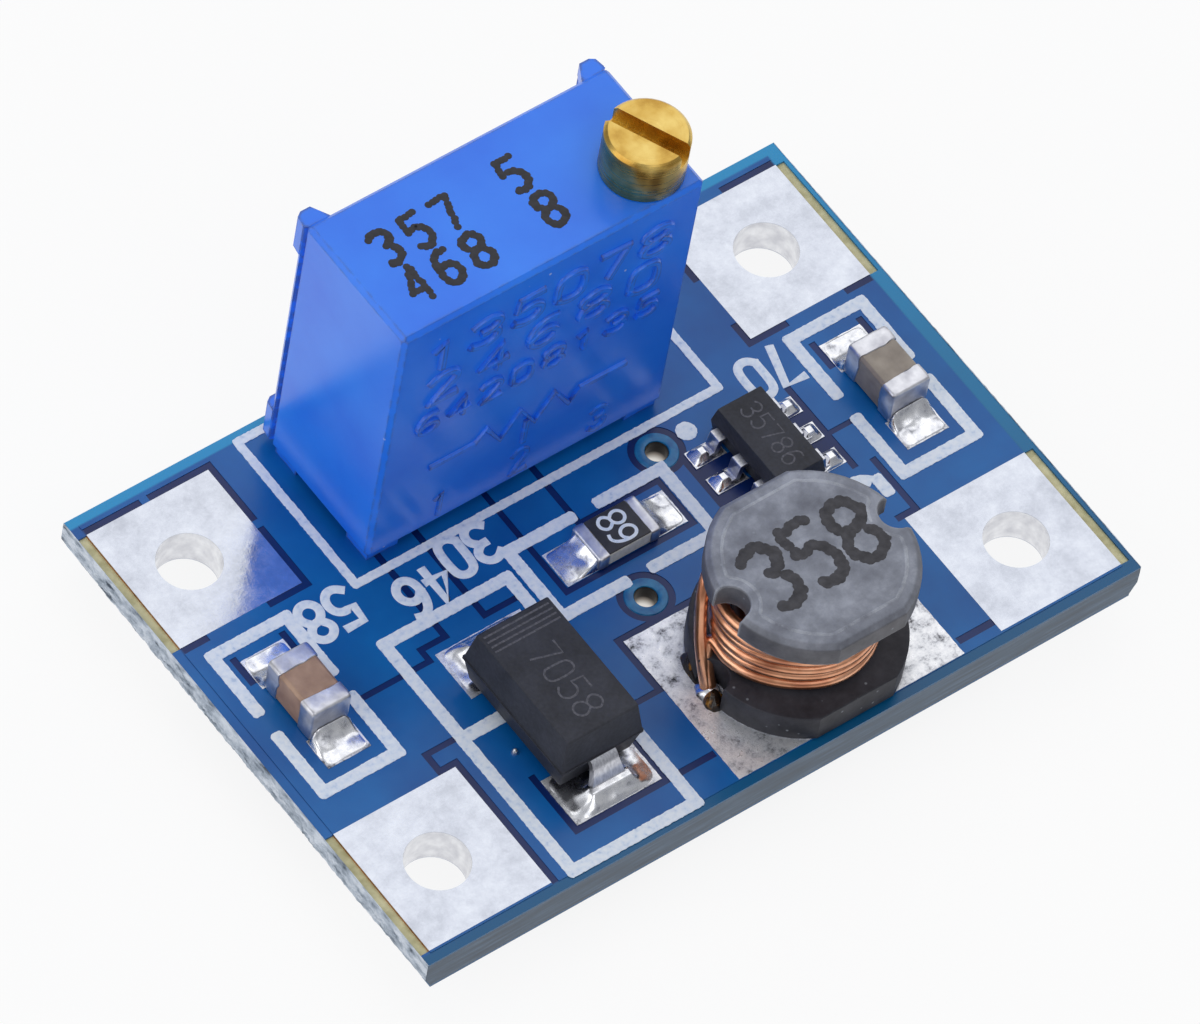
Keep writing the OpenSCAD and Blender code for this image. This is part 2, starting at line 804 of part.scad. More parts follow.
// Profile of a hollow-faced bead of solder, which climbs a wall at X = 0 and runs out along +X
module bead_profile(run, climb) {
    foot = [run, bead_toe];
    lip = [bead_lip, climb];
    chord = norm(foot - lip);
    dip = chord * bead_hollow;
    r = (chord * chord / 4 + dip * dip) / (2 * dip);
    outward = [lip[1] - foot[1], foot[0] - lip[0]] / chord;
    difference() {
        square([run, climb]);
        translate((foot + lip) / 2 + outward * (r - dip)) circle(r);
    }
}

// Solder that fills the pins' holes and stands as a hollow cone underneath
module trimmer_solder() {
    color(solder) for (at = pins) translate(at) rotate_extrude() {
        translate([pin_r, pad_low_z]) mirror([0, 1]) bead_profile(pin_pad_r - pad_rim - pin_r, pin_cone_h);
        patch([0, 0], pin_r, pin_hole_r, pad_low_z - bead_toe / 2, copper_top_z);
    }
}

// The base flange's plan: round, with two flats and a notch at each end, all drawn in by some width
module drum_plan(inset) {
    difference() {
        intersection() {
            circle(d = drum_d - 2 * inset, $fn = 96);
            square([drum_d, drum_flat_w - 2 * inset], center = true);
        }
        for (side = [-1, 1]) translate([side * drum_d / 2, 0]) circle(notch_r);
    }
}

// The inductor's own place: under its middle, on its plated ends
module in_coil() {
    translate([coil_spot[0], coil_spot[1], pad_z]) children();
}

// Ferrite drum: base flange, barrel and top flange
module inductor_core() {
    top_low = drum_h - top_flange_t;
    color("#55565C") in_coil() {
        translate([0, 0, plate_t]) linear_extrude(flange_t) drum_plan(0);
        translate([0, 0, plate_t + flange_t - overlap])
            cylinder(h = top_low - plate_t - flange_t + 2 * overlap, r = barrel_r);
        translate([0, 0, top_low]) difference() {
            intersection() {
                union() {
                    cylinder(h = top_flange_t - rim, d = drum_top_d, $fn = 96);
                    translate([0, 0, top_flange_t - rim])
                        cylinder(h = rim, d1 = drum_top_d, d2 = drum_top_d - 2 * rim, $fn = 96);
                }
                translate([-drum_d, 0, 0]) rotate([90, 0, 90]) linear_extrude(2 * drum_d) polygon([
                    [-drum_flat_w / 2, 0], [drum_flat_w / 2, 0],
                    [drum_flat_w / 2, top_flange_t - rim], [drum_flat_w / 2 - rim, top_flange_t],
                    [rim - drum_flat_w / 2, top_flange_t], [-drum_flat_w / 2, top_flange_t - rim]
                ]);
            }
            for (side = [-1, 1]) {
                translate([side * (drum_top_d / 2 - top_notch_out), 0, -top_flange_t])
                    cylinder(h = 3 * top_flange_t, r = notch_r);
            }
        }
    }
}

// Copper winding: the outer turns as ridges, and a wire end down into each notch
module inductor_winding() {
    low = plate_t + flange_t;
    high = drum_h - top_flange_t;
    turns = floor((high - low) / (wire_d * wire_nest));
    step = (high - low) / turns;
    color("#B5683A") in_coil() {
        rotate_extrude($fn = 96) intersection() {
            union() {
                translate([barrel_r, low]) square([winding_r - wire_d / 2 - barrel_r, high - low]);
                for (i = [0:turns - 1]) {
                    translate([winding_r - wire_d / 2, low + (i + 0.5) * step]) circle(wire_d / 2, $fn = 24);
                }
            }
            translate([barrel_r, low]) square([winding_r, high - low]);
        }
        for (side = [-1, 1]) {
            translate([side * wire_run, 0, wire_end_z]) cylinder(h = low + wire_rise, r = wire_d / 2);
            translate([side * (winding_r - wire_rise), 0, low + wire_rise]) rotate([0, side * 90, 0])
                cylinder(h = wire_run - winding_r + wire_rise, r = wire_d / 2 - overlap / 2);
        }
    }
}

// Plated end under the drum's base, on the left (-1) or right (1)
module inductor_terminal(side) {
    color(tin) in_coil() linear_extrude(plate_t) intersection() {
        drum_plan(plate_inset);
        translate([side * (plate_from + drum_d / 2), 0]) square(drum_d, center = true);
    }
}

module inductor_terminal_left() {
    inductor_terminal(-1);
}

module inductor_terminal_right() {
    inductor_terminal(1);
}

// A moulded body that narrows from its parting line to its top and bottom
module moulded_body(w, l, low, high, parting, draft) {
    narrowing = [1 - 2 * draft / w, 1 - 2 * draft / l];
    translate([0, 0, parting]) linear_extrude(high - parting, scale = narrowing, slices = 1, segments = 4)
        square([w, l], center = true);
    translate([0, 0, parting]) mirror([0, 0, 1])
        linear_extrude(parting - low, scale = narrowing, slices = 1, segments = 4)
        square([w, l], center = true);
}

// The diode's own place, turned so that the chosen end points along +Y
module in_diode(side) {
    translate([diode_spot[0], diode_spot[1], pad_z]) rotate(side > 0 ? 0 : 180) children();
}

module diode_body() {
    color("#2E2E36") difference() {
        in_diode(1) moulded_body(diode_w, diode_l, lead_t + diode_lift, diode_h, diode_parting, diode_draft);
        for (side = [-1, 1]) in_diode(side) diode_lead_shape();
    }
}

// A solid with the diode lead's outline from the end: a narrow neck that widens towards the foot
module diode_lead_front_view(spare) {
    neck = lead_neck_w / 2 + spare;
    foot = lead_w / 2 + spare;
    translate([0, diode_l, 0]) rotate([90, 0, 0]) linear_extrude(diode_l) polygon([
        [-foot, 0], [foot, 0], [foot, lead_t], [neck, diode_parting - lead_t], [neck, diode_h],
        [-neck, diode_h], [-neck, diode_parting - lead_t], [-foot, lead_t]
    ]);
}

// Flat lead that comes out at the parting line, slopes down and folds in under the body
module diode_lead_shape() {
    exit_low = diode_parting - lead_t;
    root = diode_l / 2 - lead_grip;
    foot_end = diode_reach - lead_fold;
    slope = (diode_reach - lead_knee) / exit_low;
    wall = lead_t * sqrt(1 + slope * slope);
    intersection() {
        translate([-lead_w, 0, 0]) rotate([90, 0, 90]) linear_extrude(2 * lead_w) polygon([
            [foot_end, 0], [diode_reach, 0], [diode_reach, lead_t], [lead_knee, diode_parting],
            [root, diode_parting], [root, exit_low], [lead_knee + slope * lead_t - wall, exit_low],
            [diode_reach - wall, lead_t], [foot_end, lead_t]
        ]);
        diode_lead_front_view(0);
    }
}

module diode_lead_back() {
    color(tin) in_diode(1) diode_lead_shape();
}

module diode_lead_front() {
    color(tin) in_diode(-1) diode_lead_shape();
}

module regulator_body() {
    color("#3B3B40") difference() {
        translate([chip_at[0], chip_at[1], pad_z])
            moulded_body(chip_w, chip_l, chip_lift, chip_h, chip_parting, chip_draft);
        for (i = [0:5]) chip_lead_shape(i);
    }
}

// Bent lead of the regulator: three on the left (0 to 2), three on the right (3 to 5)
module chip_lead_shape(i) {
    side = i < 3 ? 180 : 0;
    row = i < 3 ? 1 - i : i - 4;
    low = chip_parting - pin_lead_t;
    root = chip_w / 2 - pin_lead_grip;
    toe = pin_lead_knee + pin_lead_slope;
    translate([chip_at[0], chip_at[1] + row * lead_pitch, pad_z]) rotate(side)
        translate([0, pin_lead_w / 2, 0]) rotate([90, 0, 0]) linear_extrude(pin_lead_w) polygon([
            [root, low], [pin_lead_knee, low], [toe, 0], [pin_lead_reach, 0], [pin_lead_reach, pin_lead_t],
            [toe + pin_lead_wall, pin_lead_t], [pin_lead_knee + pin_lead_wall, chip_parting],
            [root, chip_parting]
        ]);
}

module regulator_lead(i) {
    color(tin) chip_lead_shape(i);
}

module regulator_lead_1() {
    regulator_lead(0);
}

module regulator_lead_2() {
    regulator_lead(1);
}

module regulator_lead_3() {
    regulator_lead(2);
}

module regulator_lead_4() {
    regulator_lead(3);
}

module regulator_lead_5() {
    regulator_lead(4);
}

module regulator_lead_6() {
    regulator_lead(5);
}

// A chip part's own place, with its length along X
module in_chip(at, along_x) {
    translate([at[0], at[1], pad_z]) rotate(along_x ? 0 : 90) children();
}

// Block of a chip part with cut edges, drawn in by some width on every side
module chip_block(h, cut, inset) {
    inner_cut = cut - (2 - sqrt(2)) * inset;
    translate([inset - chip_part_l / 2, inset - chip_part_w / 2, inset])
        cut_block(chip_part_l - 2 * inset, chip_part_w - 2 * inset, h - 2 * inset, inner_cut);
}

// Metal cap around one end of a chip part
module chip_end(h, cut, reach, side) {
    rotate(side > 0 ? 0 : 180) difference() {
        intersection() {
            chip_block(h, cut, 0);
            box([chip_part_l / 2 - reach, -chip_part_w, -h], [chip_part_l, chip_part_w, 2 * h]);
        }
        chip_block(h, cut, wrap_t);
    }
}

module left_capacitor_body() {
    color("#9B8070") in_chip(left_cap_spot, false) chip_block(cap_h, cap_edge, wrap_t);
}

module left_capacitor_end_back() {
    color(tin) in_chip(left_cap_spot, false) chip_end(cap_h, cap_edge, cap_end, 1);
}

module left_capacitor_end_front() {
    color(tin) in_chip(left_cap_spot, false) chip_end(cap_h, cap_edge, cap_end, -1);
}

module right_capacitor_body() {
    color("#9B8070") in_chip(right_cap_spot, false) chip_block(cap_h, cap_edge, wrap_t);
}

module right_capacitor_end_back() {
    color(tin) in_chip(right_cap_spot, false) chip_end(cap_h, cap_edge, cap_end, 1);
}

module right_capacitor_end_front() {
    color(tin) in_chip(right_cap_spot, false) chip_end(cap_h, cap_edge, cap_end, -1);
}

module resistor_body() {
    color("#E4E2DC") in_chip(res_at, true) chip_block(res_h, res_edge, wrap_t);
}

// Black coat over the resistor's middle
module resistor_film() {
    half = [chip_part_l, chip_part_w] / 2 - coat_inset;
    color("#2E2E32") in_chip(res_at, true)
        box([-half[0], -half[1], res_h - wrap_t], [half[0], half[1], res_h + coat_rise]);
}

module resistor_end_left() {
    color(tin) in_chip(res_at, true) chip_end(res_h, res_edge, res_end, -1);
}

module resistor_end_right() {
    color(tin) in_chip(res_at, true) chip_end(res_h, res_edge, res_end, 1);
}

// Straight bead of solder that climbs a wall at X = 0 and runs out along +X
module solder_bead(run, climb, w) {
    translate([0, w / 2, 0]) rotate([90, 0, 0]) linear_extrude(w) bead_profile(run, climb);
}

// Beads at both ends of a chip part
module chip_solder(at, along_x, pad, climb) {
    color(solder) for (side = [0, 180]) in_chip(at, along_x) rotate(side)
        translate([chip_part_l / 2, 0, 0])
        solder_bead(pad[2] - chip_part_l / 2 - pad_rim, climb, chip_part_w - 2 * cap_edge);
}

module solder_left_capacitor() {
    chip_solder(left_cap_spot, false, cap_pad, cap_climb);
}

module solder_right_capacitor() {
    chip_solder(right_cap_spot, false, cap_pad, cap_climb);
}

module solder_resistor() {
    chip_solder(res_at, true, res_pad, res_climb);
}

module solder_diode() {
    color(solder) for (side = [-1, 1]) in_diode(side) difference() {
        intersection() {
            translate([0, diode_reach - lead_t, 0]) rotate(90)
                solder_bead(diode_pad[2] - diode_reach + lead_t - pad_rim, diode_climb, 2 * lead_w);
            diode_lead_front_view(bead_spare);
        }
        diode_lead_shape();
    }
}

module solder_regulator() {
    color(solder) for (side = [0, 180], i = [-1:1]) {
        translate([chip_at[0], chip_at[1] + i * lead_pitch, pad_z]) rotate(side)
            translate([pin_lead_reach, 0, 0])
            solder_bead(lead_pad[2] - pin_lead_reach - pad_rim, pin_lead_climb, pin_lead_w + 2 * pad_rim);
    }
}

// Solder around the wire end in each of the drum's notches
module solder_inductor() {
    root = drum_d / 2 - coil_joint_in;
    color(solder) for (side = [0, 180]) in_coil() rotate(side) difference() {
        translate([root, 0, 0]) solder_bead(coil_pad[2] - root - pad_rim, coil_climb, coil_joint_w);
        translate([0, 0, -coil_climb]) linear_extrude(3 * coil_climb) drum_plan(0);
        translate([wire_run, 0, wire_end_z]) cylinder(h = 2 * coil_climb, r = wire_d / 2);
    }
}

board_laminate();
copper_top();
copper_bottom();
hole_plating();
solder_mask_top();
solder_mask_bottom();
pad_tin_top();
pad_tin_bottom();
silkscreen();
trimmer_housing();
trimmer_screw();
trimmer_seal_ring();
trimmer_wheel();
trimmer_wiper();
trimmer_track();
trimmer_element();
trimmer_potting();
trimmer_pin_left();
trimmer_pin_middle();
trimmer_pin_right();
trimmer_solder();
inductor_core();
inductor_winding();
inductor_terminal_left();
inductor_terminal_right();
diode_body();
diode_lead_back();
diode_lead_front();
regulator_body();
regulator_lead_1();
regulator_lead_2();
regulator_lead_3();
regulator_lead_4();
regulator_lead_5();
regulator_lead_6();
left_capacitor_body();
left_capacitor_end_back();
left_capacitor_end_front();
right_capacitor_body();
right_capacitor_end_back();
right_capacitor_end_front();
resistor_body();
resistor_film();
resistor_end_left();
resistor_end_right();
solder_inductor();
solder_diode();
solder_regulator();
solder_left_capacitor();
solder_right_capacitor();
solder_resistor();
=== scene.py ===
import json
import math
import random

import bmesh
import bpy
from mathutils import Matrix, Vector, noise

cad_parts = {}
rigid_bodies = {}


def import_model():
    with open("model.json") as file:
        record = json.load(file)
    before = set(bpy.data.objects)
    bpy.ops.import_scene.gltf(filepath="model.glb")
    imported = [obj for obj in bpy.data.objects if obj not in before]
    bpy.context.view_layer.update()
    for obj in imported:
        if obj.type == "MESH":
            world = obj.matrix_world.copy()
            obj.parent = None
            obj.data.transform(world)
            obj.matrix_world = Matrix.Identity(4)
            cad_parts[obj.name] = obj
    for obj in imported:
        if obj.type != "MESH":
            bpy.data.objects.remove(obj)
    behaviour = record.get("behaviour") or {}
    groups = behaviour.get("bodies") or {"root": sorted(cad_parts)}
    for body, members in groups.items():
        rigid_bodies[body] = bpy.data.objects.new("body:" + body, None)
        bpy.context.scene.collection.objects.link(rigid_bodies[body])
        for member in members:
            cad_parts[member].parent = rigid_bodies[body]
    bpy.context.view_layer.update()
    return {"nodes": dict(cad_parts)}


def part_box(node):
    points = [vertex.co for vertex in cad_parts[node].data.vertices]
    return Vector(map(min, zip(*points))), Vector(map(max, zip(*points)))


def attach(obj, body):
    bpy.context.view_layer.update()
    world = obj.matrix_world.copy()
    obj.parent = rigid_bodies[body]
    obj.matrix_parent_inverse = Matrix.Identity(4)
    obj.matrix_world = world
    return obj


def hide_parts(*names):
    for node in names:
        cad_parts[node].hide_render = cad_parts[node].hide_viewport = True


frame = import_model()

# The studio: a pale floor under soft lamps, seen from the photograph's own place through a long lens.
# None of it belongs to the object; the floor shows white and keeps the faint shadow under the board.
MM = 0.001
random.seed(7)


def colour(code):
    """The linear colour of an sRGB hex code."""
    parts = [int(code[i:i + 2], 16) / 255 for i in (1, 3, 5)]
    return (*[c / 12.92 if c <= 0.04045 else ((c + 0.055) / 1.055) ** 2.4 for c in parts], 1.0)


def add(tree, kind, sockets=None, stops=(), out=0, feeds=None, **settings):
    """Adds a shader node with its settings, ramp stops, socket values and links, and gives one output."""
    made = tree.nodes.new("ShaderNode" + kind)
    for name, value in settings.items():
        setattr(made, name, value)
    for socket, value in (sockets or {}).items():
        if isinstance(value, bpy.types.NodeSocket):
            tree.links.new(value, made.inputs[socket])
        else:
            made.inputs[socket].default_value = value
    for i, (place, code) in enumerate(stops):
        ends = made.color_ramp.elements
        stop = ends[i] if i < 2 else ends.new(place)
        stop.position = place
        stop.color = colour(code)
    if feeds is not None:
        tree.links.new(made.outputs[out], feeds)
    return made.outputs[out]


def placed(name, data):
    """A new object in the scene."""
    made = bpy.data.objects.new(name, data)
    bpy.context.scene.collection.objects.link(made)
    return made


camera_place = Vector((-152.68, -148.20, 303.555)) * MM
camera_sight = Vector((0.41452, 0.40343, -0.81573))
camera_up = Vector((0.43636, 0.69849, 0.56719))
camera_axes = Matrix((camera_sight.cross(camera_up), camera_up, -camera_sight)).transposed().to_4x4()
lens = bpy.data.cameras.new("studio_camera")
lens.lens = 428.7
lens.sensor_width = 36
lens.sensor_fit = "HORIZONTAL"
lens.clip_start = 0.01
lens.clip_end = 10
camera = placed("studio_camera", lens)
camera.matrix_world = Matrix.Translation(camera_place) @ camera_axes
bpy.context.scene.camera = camera
bpy.context.scene.view_settings.view_transform = "Standard"

# Each softbox has a direction, a side in metres and a power in watts.
lamp_distance = 0.5
softboxes = {
    "back_softbox": (Vector((0.42, 0.44, 0.80)), 0.64, 0.98),
    "left_softbox": (Vector((-0.85, 0.10, 0.50)), 0.40, 0.72),
    "lens_softbox": (Vector((-0.10, -0.62, 0.78)), 0.28, 0.27),
}
for name, (direction, side, watts) in softboxes.items():
    lamp = bpy.data.lights.new(name, "AREA")
    lamp.shape = "SQUARE"
    lamp.size = side
    lamp.energy = watts
    softbox = placed(name, lamp)
    softbox.location = direction.normalized() * lamp_distance
    softbox.rotation_euler = direction.to_track_quat("Z", "Y").to_euler()

room = bpy.data.worlds.new("studio_room")
room.use_nodes = True
bpy.context.scene.world = room
sky = room.node_tree
backdrop = sky.nodes["Background"].inputs
sky_place = add(sky, "TexCoord", out="Generated")
sky_height = add(sky, "SeparateXYZ", {0: sky_place}, out="Z")
add(sky, "ValToRGB", {0: sky_height}, [(0.0, "#8E9094"), (1.0, "#BABCC0")], feeds=backdrop["Color"])
backdrop["Strength"].default_value = 1.0

# Pale paper: the lens and mirror-like metal see it as white, with an eighth of its true shading left.
paper = bpy.data.materials.new("studio_paper")
paper.use_nodes = True
sheet = paper.node_tree
sheet.nodes.remove(sheet.nodes["Principled BSDF"])
paper_shade = add(sheet, "BsdfDiffuse", {"Color": colour("#F2F2F2")})
paper_glow = add(sheet, "Emission", {"Color": colour("#FFFFFF"), "Strength": 1.0})
paper_seen = add(sheet, "MixShader", {0: 0.12, 1: paper_glow, 2: paper_shade})
seen = add(sheet, "LightPath", out="Is Camera Ray")
for kind in ("Is Glossy Ray", "Is Transmission Ray"):
    ray = add(sheet, "LightPath", out=kind)
    seen = add(sheet, "Math", {0: seen, 1: ray}, operation="MAXIMUM")
paper_face = sheet.nodes["Material Output"].inputs["Surface"]
add(sheet, "MixShader", {0: seen, 1: paper_shade, 2: paper_seen}, feeds=paper_face)
floor_half = 3.0
floor_corners = [(x * floor_half, y * floor_half, 0) for x, y in ((-1, -1), (1, -1), (1, 1), (-1, 1))]
floor_mesh = bpy.data.meshes.new("studio_floor")
floor_mesh.from_pydata(floor_corners, [], [(0, 1, 2, 3)])
floor_mesh.materials.append(paper)
studio_floor = placed("studio_floor", floor_mesh)


# The board: woven glass in epoxy, drilled, then snapped from its panel along scored lines at both ends.
# The long edges are milled smooth; the snapped ends show torn, whitish fibre above the score line.
def material(name, **sockets):
    """A new material, its node tree, its main shader's inputs and the place on the object, in metres."""
    made = bpy.data.materials.new(name)
    made.use_nodes = True
    tree = made.node_tree
    into = tree.nodes["Principled BSDF"].inputs
    for socket, value in sockets.items():
        into[socket.replace("_", " ")].default_value = value
    return made, tree, into, add(tree, "TexCoord", out="Object")


def per_mm(size):
    """The scale of a pattern whose marks are that many mm apart."""
    return 1 / (size * MM)


def mottled(tree, into, place, size, detail, stops, **more):
    """Colours a material by a noise with marks about that many mm apart, and gives the noise back."""
    grain = add(tree, "TexNoise", {"Vector": place, "Scale": per_mm(size), "Detail": detail, **more})
    add(tree, "ValToRGB", {0: grain}, stops, feeds=into["Base Color"])
    return grain


def dress(node, made, rounding=0):
    """Gives a CAD node its material and, where its real edges are rounded, a small rounding in mm."""
    piece = frame["nodes"][node]
    piece.data.materials.clear()
    piece.data.materials.append(made)
    if rounding:
        weld = piece.modifiers.new("weld", "WELD")
        weld.merge_threshold = 0.0005 * MM
        edge = piece.modifiers.new("rounding", "BEVEL")
        edge.width = rounding * MM
        edge.segments = 3
        edge.limit_method = "ANGLE"
        edge.angle_limit = math.radians(32)
        edge.harden_normals = True


def box_mm(node):
    """The lowest and highest corners of a CAD node, in mm."""
    low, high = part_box(node)
    return low / MM, high / MM


def on_top(node, right=0, behind=0):
    """A place on top of a CAD node, that far right of and behind its middle, in mm."""
    low, high = box_mm(node)
    return Vector(((low.x + high.x) / 2 + right, (low.y + high.y) / 2 + behind, high.z))


def lofted(rings, capped=True):
    """Points and faces of a skin through closed rings of equal count."""
    count = len(rings[0])
    faces = []
    for row in range(len(rings) - 1):
        for i in range(count):
            j = (i + 1) % count
            faces.append((row * count + i, row * count + j, (row + 1) * count + j, (row + 1) * count + i))
    if capped:
        faces.append(tuple(range(count - 1, -1, -1)))
        faces.append(tuple((len(rings) - 1) * count + i for i in range(count)))
    return [point for ring in rings for point in ring], faces


def joined(shapes):
    """Several sets of points and faces as one."""
    points = []
    faces = []
    for some_points, some_faces in shapes:
        start = len(points)
        points.extend(some_points)
        faces.extend(tuple(start + i for i in face) for face in some_faces)
    return points, faces


def new_piece(name, shape, made, body="board", smooth_angle=40):
    """A mesh piece from points in mm, riding on its body, with edges sharper than the angle kept crisp."""
    points, faces = shape
    skin = bpy.data.meshes.new(name)
    skin.from_pydata([point * MM for point in points], [], faces)
    work = bmesh.new()
    work.from_mesh(skin)
    bmesh.ops.recalc_face_normals(work, faces=work.faces)
    for face in work.faces:
        face.smooth = True
    for edge in work.edges:
        edge.smooth = edge.is_manifold and edge.calc_face_angle() < math.radians(smooth_angle)
    work.to_mesh(skin)
    work.free()
    skin.materials.append(made)
    piece = placed(name, skin)
    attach(piece, body)
    return piece


# Milled glass-epoxy: slightly glossy, with paler layers of cloth in its blue-grey edge and olive faces.
laminate, tree, into, place = material("glass_epoxy", Roughness=0.42, IOR=1.55)
layers = add(tree, "Mapping", {"Vector": place, "Scale": (0.08, 0.08, 1.0)})
cloth = add(tree, "TexNoise", {"Vector": layers, "Scale": per_mm(0.12), "Detail": 3.0})
edge_shade = add(tree, "ValToRGB", {0: cloth}, [(0.30, "#2E4256"), (0.55, "#3C546A"), (0.72, "#526A82")])
face_grain = add(tree, "TexNoise", {"Vector": place, "Scale": per_mm(0.3), "Detail": 4.0})
face_shade = add(tree, "ValToRGB", {0: face_grain}, [(0.3, "#AEA878"), (0.7, "#D8D2A6")])
facing = add(tree, "NewGeometry", out="True Normal")
facing_up = add(tree, "SeparateXYZ", {0: facing}, out="Z")
level = add(tree, "Math", {0: facing_up}, operation="ABSOLUTE")
# Mixed colours leave a mix node by its third output.
rgba = {"data_type": "RGBA", "out": 2}
add(tree, "Mix", {0: level, 6: edge_shade, 7: face_shade}, feeds=into["Base Color"], **rgba)
add(tree, "Bump", {"Height": cloth, "Strength": 0.2, "Distance": 0.02 * MM}, feeds=into["Normal"])
dress("board_laminate", laminate)

# Torn glass fibre: dull and whitish, with dark gaps between the strands.
torn_fibre, tree, into, place = material("torn_glass_fibre", Roughness=0.75, IOR=1.5)
fibre_place = add(tree, "Mapping", {"Vector": place, "Scale": (1.0, 0.35, 1.0)})
fibre_shades = [(0.30, "#48525E"), (0.40, "#96A1AE"), (0.50, "#BEC8D4"), (0.62, "#DEE5EE")]
strands = mottled(tree, into, fibre_place, 0.2, 6.0, fibre_shades, Roughness=0.6)
add(tree, "Bump", {"Height": strands, "Strength": 0.9, "Distance": 0.05 * MM}, feeds=into["Normal"])

board_low, board_high = box_mm("board_laminate")
mask_top_z = box_mm("solder_mask_top")[1].z
board_skin = frame["nodes"]["board_laminate"].data
score_z = min(v.co.z / MM for v in board_skin.vertices if v.co.x / MM < board_low.x + 0.001)


def torn_depth(y, z, seed):
    """How far the torn end stands out, in mm: a rough strip between the upper edge and the score line."""
    up = (z - score_z) / (mask_top_z - score_z)
    flank = max(0.0, 1 - abs(2 * up - 0.8) ** 2.5)
    coarse = noise.fractal(Vector((y * 0.9, z * 1.5, seed)), 1.0, 2.0, 3)
    fine = noise.fractal(Vector((y * 5, z * 9, seed + 40)), 0.6, 2.0, 4)
    return max(0.004, 0.015 + flank * (0.04 + 0.05 * coarse + 0.04 * fine) + 0.012 * fine)


def torn_end(end_x, way, seed):
    """One snapped end of the board as a closed strip that starts just inside the board."""
    columns = 300
    rows = 22
    inside_x = end_x - way * 0.004
    rings = []
    for i in range(columns + 1):
        y = board_low.y + (board_high.y - board_low.y) * i / columns
        fade = min(1.0, 8 * min(i, columns - i) / columns + 0.15)
        ring = []
        for k in range(rows + 1):
            z = score_z + (mask_top_z - score_z) * k / rows
            ring.append(Vector((end_x + way * torn_depth(y, z, seed) * fade, y, z)))
        rings.append(ring + [Vector((inside_x, y, mask_top_z)), Vector((inside_x, y, score_z))])
    return lofted(rings)


new_piece("torn_end_left", torn_end(board_low.x, way=-1, seed=3), torn_fibre)
new_piece("torn_end_right", torn_end(board_high.x, way=1, seed=11), torn_fibre)

# The copper: foil etched on both faces, and barrels plated through the holes, under the lacquer and the tin.
# Only its cut edges and the barrels are seen.
# Bare copper foil: warm metal, dulled unevenly by handling.
foil, tree, into, place = material("copper_foil", Metallic=1.0)
tarnish = mottled(tree, into, place, 0.6, 4.0, [(0.3, "#A8643C"), (0.7, "#D98F63")])
add(tree, "MapRange", {0: tarnish, 3: 0.28, 4: 0.5}, feeds=into["Roughness"])
dress("copper_top", foil)
dress("copper_bottom", foil)

# Levelled solder in the barrels: bright and a little wavy. In the vias the wall is painted: near-black
# painted shade below the mouth, turning to a pale painted lit wall deeper in.
barrel_tin, tree, into, place = material("barrel_tin", Metallic=1.0, Roughness=0.3)
ripple = add(tree, "TexNoise", {"Vector": place, "Scale": per_mm(0.35), "Detail": 3.0})
clean_shade = add(tree, "ValToRGB", {0: ripple}, [(0.3, "#D2D3D9"), (0.7, "#F2F3F6")])
barrel_z = add(tree, "SeparateXYZ", {0: place}, out="Z")
# Painted shade and light down the vias' walls, set by depth below the lacquer.
via_depth = add(tree, "MapRange", {0: barrel_z, 1: (mask_top_z - 0.2) * MM, 2: (mask_top_z - 0.8) * MM})
via_painted_shade_and_light = [(0.0, "#0E0C0C"), (0.4, "#1E1A18"), (0.62, "#8A827A"), (1.0, "#E8E4DE")]
painted_via_light = add(tree, "ValToRGB", {0: via_depth}, via_painted_shade_and_light)
barrel_x = add(tree, "SeparateXYZ", {0: place}, out="X")
away_x = add(tree, "Math", {0: barrel_x}, operation="ABSOLUTE")
# Only the four corner holes lie further from the middle than this.
corner_from = 5.0
corner_to = 6.0
in_corner = add(tree, "MapRange", {0: away_x, 1: corner_from * MM, 2: corner_to * MM})
# The vias take the painted shade and light; the corner holes keep the clean tin.
add(tree, "Mix", {0: in_corner, 6: painted_via_light, 7: clean_shade}, feeds=into["Base Color"], **rgba)
add(tree, "Bump", {"Height": ripple, "Strength": 0.4, "Distance": 0.03 * MM}, feeds=into["Normal"])
dress("hole_plating", barrel_tin)

# The pads: hot-levelled tin on every bare copper pad and on the four corner terminals.
# Levelled tin: pale satin metal, clouded in patches a mm across and finely grained.
pad_tin, tree, into, place = material("levelled_tin", Metallic=1.0)
grains = add(tree, "TexNoise", {"Vector": place, "Scale": per_mm(0.2), "Detail": 5.0, "Roughness": 0.7})
clouds = add(tree, "TexNoise", {"Vector": place, "Scale": per_mm(0.9), "Detail": 5.0, "Roughness": 0.6})
tin_tone = add(tree, "Mix", {0: 0.35, 2: clouds, 3: grains}, data_type="FLOAT")
tin_shades = [(0.32, "#B4B8C2"), (0.5, "#CACED8"), (0.68, "#DADEE6")]
add(tree, "ValToRGB", {0: tin_tone}, tin_shades, feeds=into["Base Color"])
add(tree, "MapRange", {0: clouds, 1: 0.3, 2: 0.7, 3: 0.07, 4: 0.2}, feeds=into["Roughness"])
add(tree, "Bump", {"Height": tin_tone, "Strength": 0.3, "Distance": 0.015 * MM}, feeds=into["Normal"])
dress("pad_tin_top", pad_tin)
dress("pad_tin_bottom", pad_tin)
